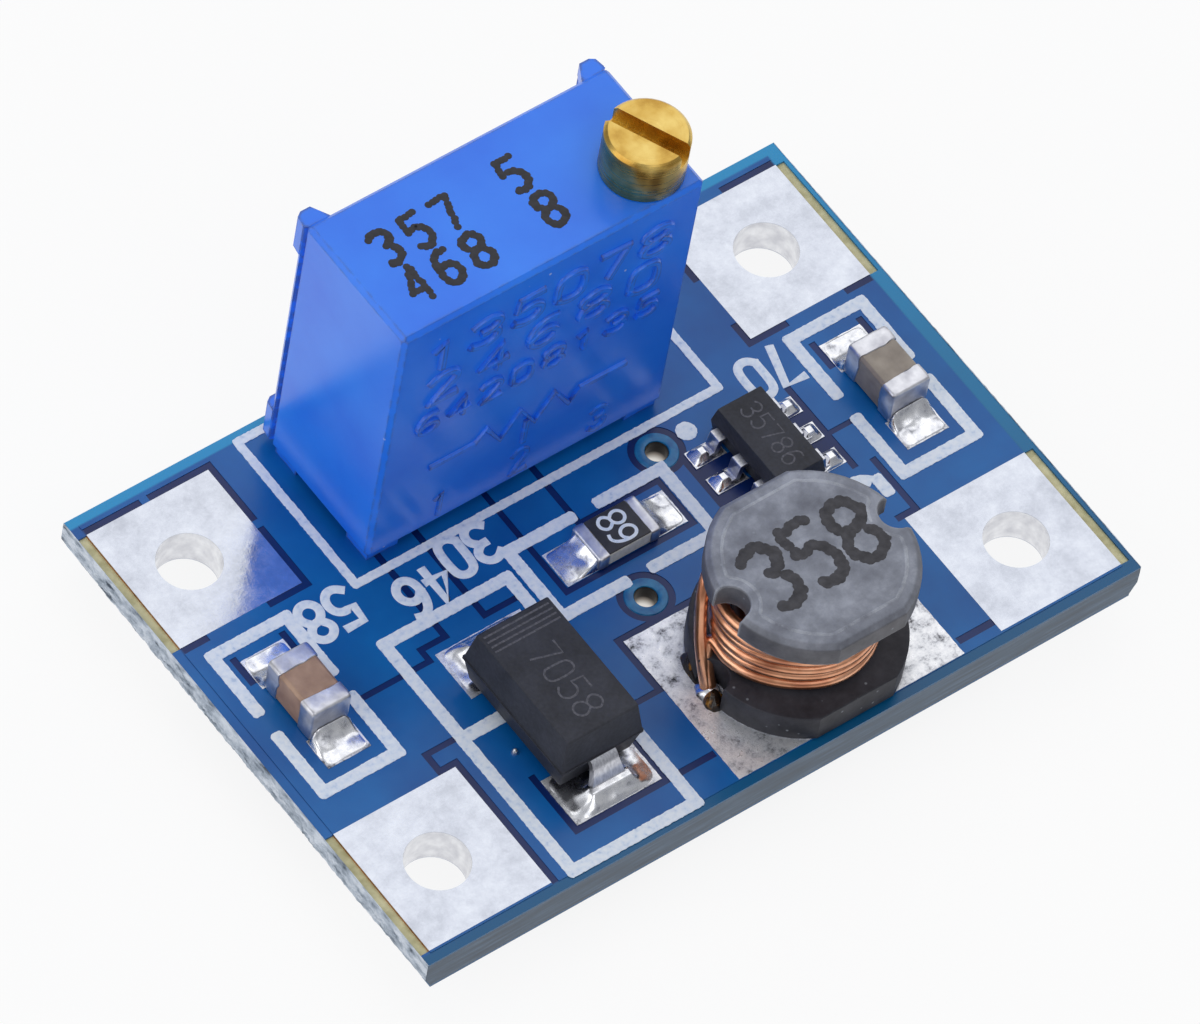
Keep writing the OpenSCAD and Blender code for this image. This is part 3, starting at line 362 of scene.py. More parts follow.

# The lacquer: blue photo-cured solder mask, printed over both faces and washed out over the pads.
# Cured lacquer: glossy blue, lighter over copper, navy in the etched gaps and teal along the bare margin,
# with painted shade darkening that teal towards the front edge.
lacquer, tree, into, place = material("solder_mask_lacquer", Roughness=0.25, IOR=1.48,
                                      Specular_IOR_Level=0.43)
mask_x, mask_y, mask_z = [add(tree, "SeparateXYZ", {0: place}, out=axis) for axis in "XYZ"]
copper_low, copper_high = box_mm("copper_top")
fade = 0.035
raised = add(tree, "MapRange", {0: mask_z, 1: (mask_top_z - 0.016) * MM, 2: (mask_top_z - 0.004) * MM})
left_side = add(tree, "MapRange", {0: mask_x, 1: (copper_low.x + fade) * MM,
                                   2: (copper_low.x - fade) * MM})
right_side = add(tree, "MapRange", {0: mask_x, 1: (copper_high.x - fade) * MM,
                                    2: (copper_high.x + fade) * MM})
away_y = add(tree, "Math", {0: mask_y}, operation="ABSOLUTE")
long_sides = add(tree, "MapRange", {0: away_y, 1: (copper_high.y - fade) * MM,
                                    2: (copper_high.y + fade) * MM})
teal = add(tree, "Math", {0: right_side, 1: long_sides}, operation="MAXIMUM")
margin = add(tree, "Math", {0: teal, 1: left_side}, operation="MAXIMUM")
lit = add(tree, "Math", {0: raised, 1: margin}, operation="MAXIMUM")
depth = add(tree, "TexNoise", {"Vector": place, "Scale": per_mm(2.5), "Detail": 4.0})
over_copper = add(tree, "ValToRGB", {0: depth}, [(0.3, "#05529A"), (0.7, "#0D68B0")])
over_gap = add(tree, "ValToRGB", {0: depth}, [(0.3, "#021A52"), (0.7, "#062A68")])
# Painted shade: the margin's teal darkens from the back edge to the front edge.
to_back = add(tree, "MapRange", {0: mask_y, 1: copper_low.y * MM, 2: copper_high.y * MM})
margin_with_painted_shade = add(tree, "ValToRGB", {0: to_back}, [(0.0, "#0B5886"), (1.0, "#1F93C9")])
flat = add(tree, "Mix", {0: lit, 6: over_gap, 7: over_copper}, **rgba)
add(tree, "Mix", {0: teal, 6: flat, 7: margin_with_painted_shade}, feeds=into["Base Color"], **rgba)
peel = add(tree, "TexNoise", {"Vector": place, "Scale": per_mm(0.5), "Detail": 2.0})
add(tree, "Bump", {"Height": peel, "Strength": 0.25, "Distance": 0.02 * MM}, feeds=into["Normal"])
dress("solder_mask_top", lacquer)
dress("solder_mask_bottom", lacquer)


# The two vias: lacquer runs up to the plated hole and dries in a thin collar round it.
# Thin lacquer: paler and greener than the rest, because the copper shines through it.
def top_loops(node):
    """The outlines of a CAD node's upward faces, as loops of points in mm."""
    skin = frame["nodes"][node].data
    key = {}
    where = [key.setdefault(tuple(round(c / MM, 3) for c in v.co), len(key)) for v in skin.vertices]
    spots = [Vector(tag) for tag in key]
    pairs = set()
    for face in skin.polygons:
        if face.normal.z > 0.9:
            ends = [where[i] for i in face.vertices]
            pairs.update(zip(ends, ends[1:] + ends[:1]))
    following = {a: b for a, b in pairs if (b, a) not in pairs}
    loops = []
    while following:
        start, here = following.popitem()
        loop = [spots[start]]
        while here != start:
            loop.append(spots[here])
            here = following.pop(here)
        loops.append(loop)
    return loops


plan_right = Vector((1, 0, 0))
plan_back = Vector((0, 1, 0))
up_z = Vector((0, 0, 1))


def ring(centre, radius, count, side=plan_right, other=plan_back):
    """Points on a circle."""
    turns = [math.tau * k / count for k in range(count)]
    return [centre + (side * math.cos(turn) + other * math.sin(turn)) * radius for turn in turns]


def via_collar(centre):
    """A low ring of lacquer round a via's hole."""
    section = [(0.315, -0.03), (0.33, 0.004), (0.38, 0.014), (0.48, 0.016), (0.57, 0.010), (0.60, -0.03)]
    rings = [ring(Vector((centre.x, centre.y, mask_top_z + lift)), r, 64) for r, lift in section]
    return lofted(rings + rings[:1], capped=False)


thin_lacquer, tree, into, place = material("thin_lacquer", Roughness=0.24, IOR=1.48)
mottled(tree, into, place, 0.3, 4.0, [(0.3, "#0C5A92"), (0.7, "#2480B0")])
# The vias are the narrowest holes in the board.
widest_via = 0.33
via_collars = []
for loop in top_loops("hole_plating"):
    centre = sum(loop, Vector()) / len(loop)
    if (loop[0] - centre).length < widest_via:
        via_collars.append(via_collar(centre))
new_piece("via_collars", joined(via_collars), thin_lacquer)


# The legend: white ink screened on the lacquer, in outlines round the parts and a number beside four of them.
# The screen's mesh leaves fine steps along every edge.
def stepped(loop, pitch, jitter):
    """A loop walked in short steps, each point nudged as a coarse screen leaves it."""
    path = []
    for here, there in zip(loop, loop[1:] + loop[:1]):
        count = max(1, round((there - here).length / pitch))
        for i in range(count):
            point = here.lerp(there, i / count)
            path.append(point + Vector((random.uniform(-jitter, jitter), random.uniform(-jitter, jitter), 0)))
    return path


def flat_sheet(name, loops, low_z, high_z):
    """Points and faces of a thin sheet bounded by loops, holes and all."""
    outline = bpy.data.curves.new(name, "CURVE")
    outline.dimensions = "2D"
    outline.fill_mode = "BOTH"
    outline.extrude = (high_z - low_z) / 2
    for loop in loops:
        spline = outline.splines.new("POLY")
        spline.points.add(len(loop) - 1)
        for point, at in zip(spline.points, loop):
            point.co = (at.x, at.y, 0, 1)
        spline.use_cyclic_u = True
    holder = bpy.data.objects.new(name, outline)
    skin = bpy.data.meshes.new_from_object(holder)
    middle = Vector((0, 0, (low_z + high_z) / 2))
    points = [vertex.co + middle for vertex in skin.vertices]
    faces = [tuple(face.vertices) for face in skin.polygons]
    bpy.data.batch_remove((holder, outline, skin))
    return points, faces


def curve_through(first, here, last, shares):
    """Places along a smooth bend from one point to another, drawn towards a corner."""
    return [first.lerp(here, t).lerp(here.lerp(last, t), t) for t in shares]


def round_cornered(loop, radius):
    """A loop with its outer corners rounded, as ink draws back from a sharp corner."""
    path = []
    for before, here, after in zip(loop[-1:] + loop[:-1], loop, loop[1:] + loop[:1]):
        come = here - before
        leave = after - here
        bend = math.atan2(come.cross(leave).z, come.dot(leave))
        if bend < math.radians(40):
            path.append(here)
            continue
        cut = min(radius, come.length * 0.49, leave.length * 0.49)
        first = here - come.normalized() * cut
        last = here + leave.normalized() * cut
        path += curve_through(first, here, last, (0, 0.2, 0.4, 0.6, 0.8, 1))
    return path


# Screen ink: pale blue-white and matte, thin enough to let the lacquer through in places.
legend_ink, tree, into, place = material("legend_ink", Roughness=0.6, IOR=1.5)
cover = mottled(tree, into, place, 0.16, 4.0, [(0.26, "#BACCE6"), (0.40, "#DAE5F5"), (0.6, "#E8EFF9")])
add(tree, "Bump", {"Height": cover, "Strength": 0.3, "Distance": 0.01 * MM}, feeds=into["Normal"])
ink_low_z = box_mm("silkscreen")[0].z
ink_top_z = box_mm("silkscreen")[1].z
ink_corner = 0.12
ink_step = 0.07
ink_jitter = 0.01
legend_loops = []
for loop in top_loops("silkscreen"):
    legend_loops.append(stepped(round_cornered(loop, ink_corner), ink_step, ink_jitter))
legend_lines = new_piece("legend_lines", flat_sheet("legend_lines", legend_loops, ink_low_z, ink_top_z),
                         legend_ink)
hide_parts("silkscreen")

# Each digit is drawn with a pen on a grid two wide and four high.
digit_strokes = {
    "0": [[(0, 0.6), (0, 3.4), (0.6, 4), (1.4, 4), (2, 3.4), (2, 0.6), (1.4, 0), (0.6, 0), (0, 0.6)]],
    "1": [[(0.3, 3.2), (1, 4), (1, 0)]],
    "2": [[(0, 3.3), (0.5, 4), (1.5, 4), (2, 3.3), (2, 2.6), (0, 0), (2, 0)]],
    "3": [[(0, 3.5), (0.6, 4), (1.4, 4), (2, 3.4), (2, 2.7), (1.3, 2.1), (0.7, 2.1)],
          [(1.3, 2.1), (2, 1.5), (2, 0.6), (1.4, 0), (0.6, 0), (0, 0.5)]],
    "4": [[(1.5, 0), (1.5, 4), (0, 1.2), (2, 1.2)]],
    "5": [[(1.9, 4), (0.2, 4), (0.1, 2.3), (1.3, 2.5), (2, 1.8), (2, 0.7), (1.4, 0), (0.6, 0), (0, 0.5)]],
    "6": [[(1.8, 3.8), (1.1, 4), (0.4, 3.4), (0, 2.2), (0, 0.7), (0.6, 0), (1.4, 0), (2, 0.7), (2, 1.6),
           (1.4, 2.3), (0.6, 2.3), (0, 1.6)]],
    "7": [[(0, 4), (2, 4), (0.8, 0)]],
    "8": [[(0.6, 2.1), (0, 2.8), (0, 3.4), (0.6, 4), (1.4, 4), (2, 3.4), (2, 2.8), (1.4, 2.1), (0.6, 2.1),
           (0, 1.4), (0, 0.6), (0.6, 0), (1.4, 0), (2, 0.6), (2, 1.4), (1.4, 2.1)]],
}


def pen_curved(path):
    """A pen stroke with its slight bends drawn as curves and its sharp corners kept."""
    curve = [path[0]]
    for before, here, after in zip(path, path[1:], path[2:]):
        if (here - before).angle(after - here) > math.radians(65):
            curve.append(here)
        else:
            first = before.lerp(here, 0.5)
            last = here.lerp(after, 0.5)
            curve += curve_through(first, here, last, (0.05, 0.3, 0.5, 0.7, 0.95))
    return curve + [path[-1]]


def lettering(text, middle, across, up, height, advance):
    """Pen strokes of a plain number, centred on a point, in mm."""
    unit = height / 4
    paths = []
    for i, digit in enumerate(text):
        start = (i - (len(text) - 1) / 2) * advance - unit
        for stroke in digit_strokes[digit]:
            corners = [middle + across * (start + unit * x) + up * (unit * (y - 2)) for x, y in stroke]
            paths.append(pen_curved(corners))
    return paths


def ribbon(path, normal, width, rise, sink):
    """A low rounded ridge along a path, as ink or moulded lettering leaves it."""
    profile = [(-0.5, -sink), (-0.5, rise * 0.4), (-0.3, rise), (0.3, rise), (0.5, rise * 0.4), (0.5, -sink)]
    first = (path[0] - path[1]).normalized() * width * 0.3
    last = (path[-1] - path[-2]).normalized() * width * 0.3
    points = [path[0] + first] + path[1:-1] + [path[-1] + last]
    rings = []
    for i, point in enumerate(points):
        before = points[max(i - 1, 0)]
        after = points[min(i + 1, len(points) - 1)]
        side = (after - before).normalized().cross(normal)
        build = 1 + 0.3 * i / len(points)
        rings.append([point + side * (u * width) + normal * (v * build) for u, v in profile])
    return lofted(rings)


# Each number stands beside its part, that far right of and behind its middle, and reads from the back edge.
legend_numbers = {
    "58": ("left_capacitor_body", 2.13, 1.91),
    "46": ("diode_body", -0.35, 4.81),
    "30": ("resistor_body", -3.44, 1.73),
    "70": ("right_capacitor_body", -2.29, 1.99),
}
number_height = 1.2
number_advance = 0.86
number_pen = 0.25
number_shapes = []
for text, (part, right, behind) in legend_numbers.items():
    middle = on_top(part, right, behind)
    middle.z = ink_low_z
    for path in lettering(text, middle, -plan_right, -plan_back, number_height, number_advance):
        build = (ink_top_z - ink_low_z) * random.uniform(0.8, 1.2)
        number_shapes.append(ribbon(path, up_z, number_pen, build, sink=0.004))
new_piece("legend_numbers", joined(number_shapes), legend_ink)


# The trimmer: a blue moulded case, with the resistive plate and wheel inside and resin sealing its back.
# A plain pin scale is moulded on its front, and plain numbers are jet-printed on its top.
def edge_rub_and_highlight(tree, radius, low, high, most):
    """How near a sharp edge a place is, within that many mm of it: rubbed wear on the case, a painted
    highlight on the ferrite.
    """
    soft = add(tree, "Bevel", {"Radius": radius * MM}, samples=6)
    hard = add(tree, "NewGeometry", out="True Normal")
    bend = add(tree, "VectorMath", {0: soft, 1: hard}, out="Value", operation="DOT_PRODUCT")
    return add(tree, "MapRange", {0: bend, 1: low, 2: high, 3: 0.0, 4: most})


# Moulded plastic: satin blue with faint flow marks, tiny pale specks and darker, rubbed edges.
plastic, tree, into, place = material("moulded_case_plastic", Roughness=0.24, IOR=1.53)
flow = add(tree, "TexNoise", {"Vector": place, "Scale": per_mm(3.0), "Detail": 5.0})
case_shade = add(tree, "ValToRGB", {0: flow}, [(0.3, "#1E72F4"), (0.7, "#2A84FF")])
dust = add(tree, "TexVoronoi", {"Vector": place, "Scale": per_mm(1.1), "Randomness": 1.0}, out="Distance")
dust_mark = add(tree, "MapRange", {0: dust, 1: 0.045, 2: 0.03})
dusted = add(tree, "Mix", {0: dust_mark, 6: case_shade, 7: colour("#A8C4F6")}, **rgba)
scuffs = add(tree, "TexNoise", {"Vector": place, "Scale": per_mm(0.35), "Detail": 4.0})
wear_and_highlight_patch = add(tree, "MapRange", {0: scuffs, 1: 0.38, 2: 0.62})
edge_wear_and_highlight = edge_rub_and_highlight(tree, radius=0.16, low=0.985, high=0.86, most=1.6)
rubbed = add(tree, "Math", {0: edge_wear_and_highlight, 1: wear_and_highlight_patch}, operation="MULTIPLY", use_clamp=True)
add(tree, "Mix", {0: rubbed, 6: dusted, 7: colour("#3C5CA6")}, feeds=into["Base Color"], **rgba)
skin_grain = add(tree, "TexNoise", {"Vector": place, "Scale": per_mm(0.12), "Detail": 3.0})
add(tree, "Bump", {"Height": skin_grain, "Strength": 0.2, "Distance": 0.008 * MM}, feeds=into["Normal"])
dress("trimmer_housing", plastic, rounding=0.09)


def marked(text, middle, across, up, height, advance, pen, rise, sink=0.01, normal=up_z):
    """A plain number as low ridges on a surface."""
    paths = lettering(text, middle, across, up, height, advance)
    return [ribbon(path, normal, pen, rise, sink) for path in paths]


case_low, case_high = box_mm("trimmer_housing")
case_front = Vector((0, -1, 0))
emboss_sink = 0.03
pins = ("left", "middle", "right")
pin_x = [on_top("trimmer_pin_" + pin).x for pin in pins]
pin_digit_z = case_low.z + 1.15
emboss_shapes = []
for text, x in zip("123", pin_x):
    at = Vector((x, case_low.y, pin_digit_z))
    emboss_shapes += marked(text, at, plan_right, up_z, height=0.95, advance=0.8, pen=0.17, rise=0.05,
                            sink=emboss_sink, normal=case_front)
# Each row of wide figures has a height, an advance, a depth below the case's top and a pen width.
emboss_rows = {
    "135078": (1.05, 1.35, 1.5, 0.24),
    "24680": (1.05, 1.6, 3.0, 0.24),
    "64208135": (0.75, 1.0, 4.45, 0.17),
}
row_widen = 1.6
row_rise = 0.1
for text, (height, advance, down, pen) in emboss_rows.items():
    at = Vector(((case_low.x + case_high.x) / 2, case_low.y, case_high.z - down))
    emboss_shapes += marked(text, at, plan_right * row_widen, up_z, height, advance / row_widen,
                            pen, row_rise, emboss_sink, case_front)
zigzag_z = case_low.z + 3.2
zigzag = [(-3.1, 0), (-1.7, 0), (-1.4, 0.45), (-0.85, -0.45), (-0.3, 0.45), (0.25, -0.45), (0.8, 0.45),
          (1.35, -0.45), (1.65, 0), (3.1, 0)]
arrow = [(0, -1.15), (0, -0.25)]
for line in (zigzag, arrow):
    path = [Vector((pin_x[1] + x, case_low.y, zigzag_z + z)) for x, z in line]
    emboss_shapes.append(ribbon(path, case_front, width=0.2, rise=0.08, sink=emboss_sink))
new_piece("trimmer_front_marks", joined(emboss_shapes), plastic)

# Jet ink: black dots that run together, slightly glossy where they pile up.
jet_ink, tree, into, place = material("jet_ink", Roughness=0.45, IOR=1.48)
mottled(tree, into, place, 0.2, 3.0, [(0.3, "#101018"), (0.7, "#23232E")])


def dotted(paths, normal, radius, pitch, rise, jitter):
    """Low round dots along pen strokes."""
    side = normal.orthogonal().normalized()
    other = normal.cross(side)
    shapes = []
    for path in paths:
        for here, there in zip(path, path[1:]):
            count = max(1, round((there - here).length / pitch))
            for i in range(count):
                at = here.lerp(there, i / count)
                at = at + side * random.uniform(-jitter, jitter) + other * random.uniform(-jitter, jitter)
                top = rise * random.uniform(0.6, 1.4)
                section = ((1.0, -0.01), (1.0, top * 0.5), (0.75, top))
                rings = [ring(at + normal * lift, radius * reach, 10, side, other) for reach, lift in section]
                shapes.append(lofted(rings))
    return shapes


# Each number lies that far right of and behind the middle of the case.
top_marks = {"357": (-2.46, 0.255), "468": (-2.46, -1.045), "5": (0.67, 0.385), "8": (0.84, -0.965)}
top_shapes = []
for text, (right, behind) in top_marks.items():
    at = on_top("trimmer_housing", right, behind)
    strokes = lettering(text, at, plan_right, plan_back, height=1.05, advance=0.98)
    top_shapes += dotted(strokes, up_z, radius=0.105, pitch=0.12, rise=0.010, jitter=0.03)
new_piece("trimmer_top_marks", joined(top_shapes), jet_ink)

# The trimmer's screw: turned brass with a milled slot; below it is the worm that drives the wheel.
# Turned brass: warm bright metal, with fine rings left by the tool on the head and darker oxide in places.
screw_top = on_top("trimmer_screw")
brass, tree, into, place = material("turned_brass", Metallic=1.0)
axis_place = (screw_top.x * MM, screw_top.y * MM, 0)
from_axis = add(tree, "VectorMath", {0: place, 1: axis_place}, operation="SUBTRACT")
level_part = add(tree, "VectorMath", {0: from_axis, 1: (1, 1, 0)}, operation="MULTIPLY")
reach = add(tree, "VectorMath", {0: level_part}, out="Value", operation="LENGTH")
height = add(tree, "SeparateXYZ", {0: place}, out="Z")
turn_place = add(tree, "CombineXYZ", {"X": reach, "Y": height})
turned = add(tree, "TexNoise", {"Vector": turn_place, "Scale": per_mm(0.07), "Detail": 3.0})
mottled(tree, into, place, 0.7, 4.0, [(0.28, "#A87C34"), (0.5, "#CFAA58"), (0.72, "#E3C676")])
add(tree, "MapRange", {0: turned, 1: 0.3, 2: 0.7, 3: 0.2, 4: 0.4}, feeds=into["Roughness"])
add(tree, "Bump", {"Height": turned, "Strength": 0.3, "Distance": 0.02 * MM}, feeds=into["Normal"])
dress("trimmer_screw", brass, rounding=0.05)

# Inside the case: a rubber ring at the screw's neck, a moulded wheel, its sprung wiper and a resistive plate.
# None of these is seen with the case closed; the resin that seals them in is seen at the back.
# Rubber: black and dull.
rubber, tree, into, place = material("seal_rubber", Roughness=0.7, IOR=1.52)
mottled(tree, into, place, 0.2, 3.0, [(0.3, "#16161A"), (0.7, "#26262B")])
dress("trimmer_seal_ring", rubber)
# Wheel plastic: milky white moulding.
wheel_plastic, tree, into, place = material("wheel_plastic", Roughness=0.4, IOR=1.48)
mottled(tree, into, place, 1.2, 3.0, [(0.3, "#D8D6CC"), (0.7, "#EAE8DE")])
dress("trimmer_wheel", wheel_plastic)
# Spring metal: pale gold, lightly clouded.
spring_metal, tree, into, place = material("wiper_spring_metal", Metallic=1.0, Roughness=0.3)
mottled(tree, into, place, 0.15, 3.0, [(0.3, "#C9A968"), (0.7, "#E2C68B")])
dress("trimmer_wiper", spring_metal)
# Resistive film: grainy black print.
film, tree, into, place = material("resistive_film", Roughness=0.5, IOR=1.6)
mottled(tree, into, place, 0.1, 3.0, [(0.3, "#1B1B1F"), (0.7, "#34343A")])
dress("trimmer_track", film)
# Alumina: white, fine-grained ceramic.
alumina, tree, into, place = material("alumina", Roughness=0.55, IOR=1.76)
mottled(tree, into, place, 0.15, 4.0, [(0.3, "#D5D3CA"), (0.7, "#EDEBE4")])
dress("trimmer_element", alumina)
# Sealing resin: blue epoxy, poured level and a little wavy.
resin, tree, into, place = material("sealing_resin", Roughness=0.35, IOR=1.55)
pour = mottled(tree, into, place, 1.5, 4.0, [(0.3, "#2A56A8"), (0.7, "#3A6BC4")])
add(tree, "Bump", {"Height": pour, "Strength": 0.5, "Distance": 0.08 * MM}, feeds=into["Normal"])
dress("trimmer_potting", resin)

# The trimmer's three pins: tinned wire, pushed through plated holes, wave-soldered below and clipped short.
# Tinned wire: bright and faintly drawn along its length.
pin_tin, tree, into, place = material("tinned_wire", Metallic=1.0, Roughness=0.28)
drawn = add(tree, "Mapping", {"Vector": place, "Scale": (1.0, 1.0, 0.1)})
mottled(tree, into, drawn, 0.06, 2.0, [(0.3, "#B9BAC2"), (0.7, "#DFE0E6")])
for pin in pins:
    dress("trimmer_pin_" + pin, pin_tin)

# Solder: bright, wet-looking metal with soft ripples and duller, grainy patches.
solder, tree, into, place = material("soft_solder", Metallic=1.0)
solder_shades = [(0.28, "#8E8F97"), (0.42, "#DCDDE2"), (0.62, "#F6F6F8")]
crystals = mottled(tree, into, place, 0.25, 5.0, solder_shades, Roughness=0.6)
add(tree, "MapRange", {0: crystals, 1: 0.3, 2: 0.7, 3: 0.34, 4: 0.16}, feeds=into["Roughness"])
swell = add(tree, "TexNoise", {"Vector": place, "Scale": per_mm(0.5), "Detail": 1.0})
add(tree, "Bump", {"Height": swell, "Strength": 0.3, "Distance": 0.04 * MM}, feeds=into["Normal"])
dress("trimmer_solder", solder)

# The inductor's core: a pressed and fired ferrite drum, with a notch at each end for the wire.
# Its feet are plated below, and a plain number is jet-printed on its top.
# Ferrite: matte grey ceramic with small pale specks and a darker foot; its top is paler by painted light and
# its sides darker by painted shade, with a painted highlight in patches along its edges.
ferrite, tree, into, place = material("fired_ferrite", IOR=1.45, Roughness=0.5)
core_low, core_high = box_mm("inductor_core")
core_mid = (core_low + core_high) / 2
firing = add(tree, "TexNoise", {"Vector": place, "Scale": per_mm(0.9), "Detail": 6.0, "Roughness": 0.65})
# Painted light and shade: a lit copy of the grey for the top and a shaded copy for the sides.
top_painted_lit = add(tree, "ValToRGB", {0: firing}, [(0.3, "#666974"), (0.5, "#80848F"), (0.7, "#A0A4B0")])
side_painted_shade = add(tree, "ValToRGB", {0: firing}, [(0.3, "#3C3C42"), (0.7, "#66666D")])
foot_shade = add(tree, "ValToRGB", {0: firing}, [(0.3, "#26262C"), (0.7, "#46464D")])
facing = add(tree, "NewGeometry", out="True Normal")
facing_up = add(tree, "SeparateXYZ", {0: facing}, out="Z")
top_light_mask = add(tree, "MapRange", {0: facing_up, 1: 0.3, 2: 0.95})
painted_top_and_sides = add(tree, "Mix", {0: top_light_mask, 6: side_painted_shade, 7: top_painted_lit}, **rgba)
height = add(tree, "SeparateXYZ", {0: place}, out="Z")
risen = add(tree, "MapRange", {0: height, 1: (core_low.z + 1.2) * MM, 2: (core_high.z - 0.9) * MM})
drum_tone_and_painted_light = add(tree, "Mix", {0: risen, 6: foot_shade, 7: painted_top_and_sides}, **rgba)
# Painted highlight: the edges above the foot turn pale grey in rubbed-looking patches, standing for the lit
# chamfer.
edge_wear_and_highlight = edge_rub_and_highlight(tree, radius=0.13, low=0.98, high=0.85, most=0.8)
wear_and_highlight_patch = add(tree, "MapRange", {0: firing, 1: 0.35, 2: 0.6})
painted_edge_highlight = add(tree, "Math", {0: edge_wear_and_highlight, 1: wear_and_highlight_patch}, operation="MULTIPLY")
painted_edge_highlight = add(tree, "Math", {0: painted_edge_highlight, 1: risen}, operation="MULTIPLY")
with_painted_edge_highlight = add(tree, "Mix", {0: painted_edge_highlight, 6: drum_tone_and_painted_light, 7: colour("#B4B8C0")}, **rgba)
pores = add(tree, "TexVoronoi", {"Vector": place, "Scale": per_mm(0.42), "Randomness": 1.0}, out="Distance")
pore_mark = add(tree, "MapRange", {0: pores, 1: 0.11, 2: 0.05, 4: 0.7})
add(tree, "Mix", {0: pore_mark, 6: with_painted_edge_highlight, 7: colour("#8E939B")}, feeds=into["Base Color"], **rgba)
add(tree, "MapRange", {0: risen, 3: 0.25, 4: 0.5}, feeds=into["Specular IOR Level"])
add(tree, "Bump", {"Height": firing, "Strength": 0.4, "Distance": 0.03 * MM}, feeds=into["Normal"])
dress("inductor_core", ferrite, rounding=0.05)
dress("inductor_terminal_left", pad_tin)
dress("inductor_terminal_right", pad_tin)

# A faint raised line runs round the top, a little inside its rim.
rim_loop = [loop for loop in top_loops("inductor_core") if abs(loop[0].z - core_high.z) < 0.01][0]
rim_inset = 0.27
rim_rings = []
for before, here, after in zip(rim_loop[-1:] + rim_loop[:-1], rim_loop, rim_loop[1:] + rim_loop[:1]):
    inward = up_z.cross((after - before).normalized())
    at = here + inward * (rim_inset + 0.03 * noise.noise(here * 2.3))
    if min((at - point).length for point in rim_loop) > rim_inset * 0.9:
        crest = 0.008 + 0.02 * noise.noise(here * 1.9)
        profile = ((-0.07, -0.01), (-0.03, crest), (0.03, crest), (0.07, -0.01))
        rim_rings.append([at + inward * u + up_z * v for u, v in profile])
new_piece("inductor_rim_line", lofted(rim_rings + rim_rings[:1], capped=False), ferrite)

# Worn ink: dark grey dots, half sunk into the porous ferrite.
worn_ink, tree, into, place = material("worn_ink", Roughness=0.6, IOR=1.48)
mottled(tree, into, place, 0.25, 4.0, [(0.3, "#26252A"), (0.7, "#454449")])
at = on_top("inductor_core", right=0.05, behind=0.1)
core_number = lettering("358", at, plan_right, plan_back, height=1.9, advance=1.35)
core_dots = dotted(core_number, up_z, radius=0.16, pitch=0.17, rise=0.010, jitter=0.055)
new_piece("inductor_top_marks", joined(core_dots), worn_ink)


# The winding: one layer of enamelled copper wire laid in the drum's groove, its ends led into the notches.
# Enamelled copper: clear amber coat over bright copper, so each turn has a sharp white streak.
def tube(path, radius, sides=12):
    """A round wire along a path."""
    rings = []
    side = None
    for i, point in enumerate(path):
        along = (path[min(i + 1, len(path) - 1)] - path[max(i - 1, 0)]).normalized()
        side = along.orthogonal() if side is None else side - along * side.dot(along)
        side = side.normalized()
        rings.append(ring(point, radius, sides, side, along.cross(side)))
    return lofted(rings)


def eased(stops, steps):
    """A smooth path through a few stops."""
    path = []
    padded = [stops[0]] + stops + [stops[-1]]
    for a, b, c, d in zip(padded, padded[1:], padded[2:], padded[3:]):
        for i in range(steps):
            t = i / steps
            path.append(0.5 * (2 * b + (c - a) * t + (2 * a - 5 * b + 4 * c - d) * t * t
                               + (3 * b - a - 3 * c + d) * t ** 3))
    return path + [stops[-1]]


def by_drum(right, behind, z):
    """A place measured from the drum's middle, at a height."""
    return Vector((core_mid.x + right, core_mid.y + behind, z))


enamel, tree, into, place = material("enamelled_copper", Metallic=0.9, Roughness=0.28, Coat_Weight=1.0,
                                     Coat_Roughness=0.08)
mottled(tree, into, place, 0.8, 4.0, [(0.3, "#B06A46"), (0.5, "#D8946C"), (0.7, "#F0B48E")])
wire_r = 0.17
pad_top_z = box_mm("pad_tin_top")[1].z
wire_foot_z = pad_top_z + 0.04
coil_low, coil_high = box_mm("inductor_winding")
groove_low = core_low.z + 0.94
groove_high = core_high.z - 0.82
coil_r = (coil_high.y - coil_low.y) / 2 - wire_r
coil_turns = int((groove_high - groove_low) / (2.06 * wire_r))
lay = (groove_high - groove_low - 2 * wire_r) / coil_turns
turn_steps = 72
# The turns stand off a little beside the left notch, where the ends leave them.
notch_turn = math.radians(160)
notch_swell = 0.42
winding_path = []
for i in range(coil_turns * turn_steps + 1):
    turn = math.pi + math.tau * i / turn_steps
    wander = noise.noise(Vector((i * 0.02, 0.3, 0)))
    sag = noise.noise(Vector((i * 0.013, 7.7, 0)))
    swell_out = max(0.0, math.cos(turn - notch_turn)) ** 3
    r = coil_r + 0.05 * wander + notch_swell * swell_out
    z = groove_low + wire_r + lay * i / turn_steps + 0.06 * sag
    winding_path.append(by_drum(r * math.cos(turn), r * math.sin(turn), z))
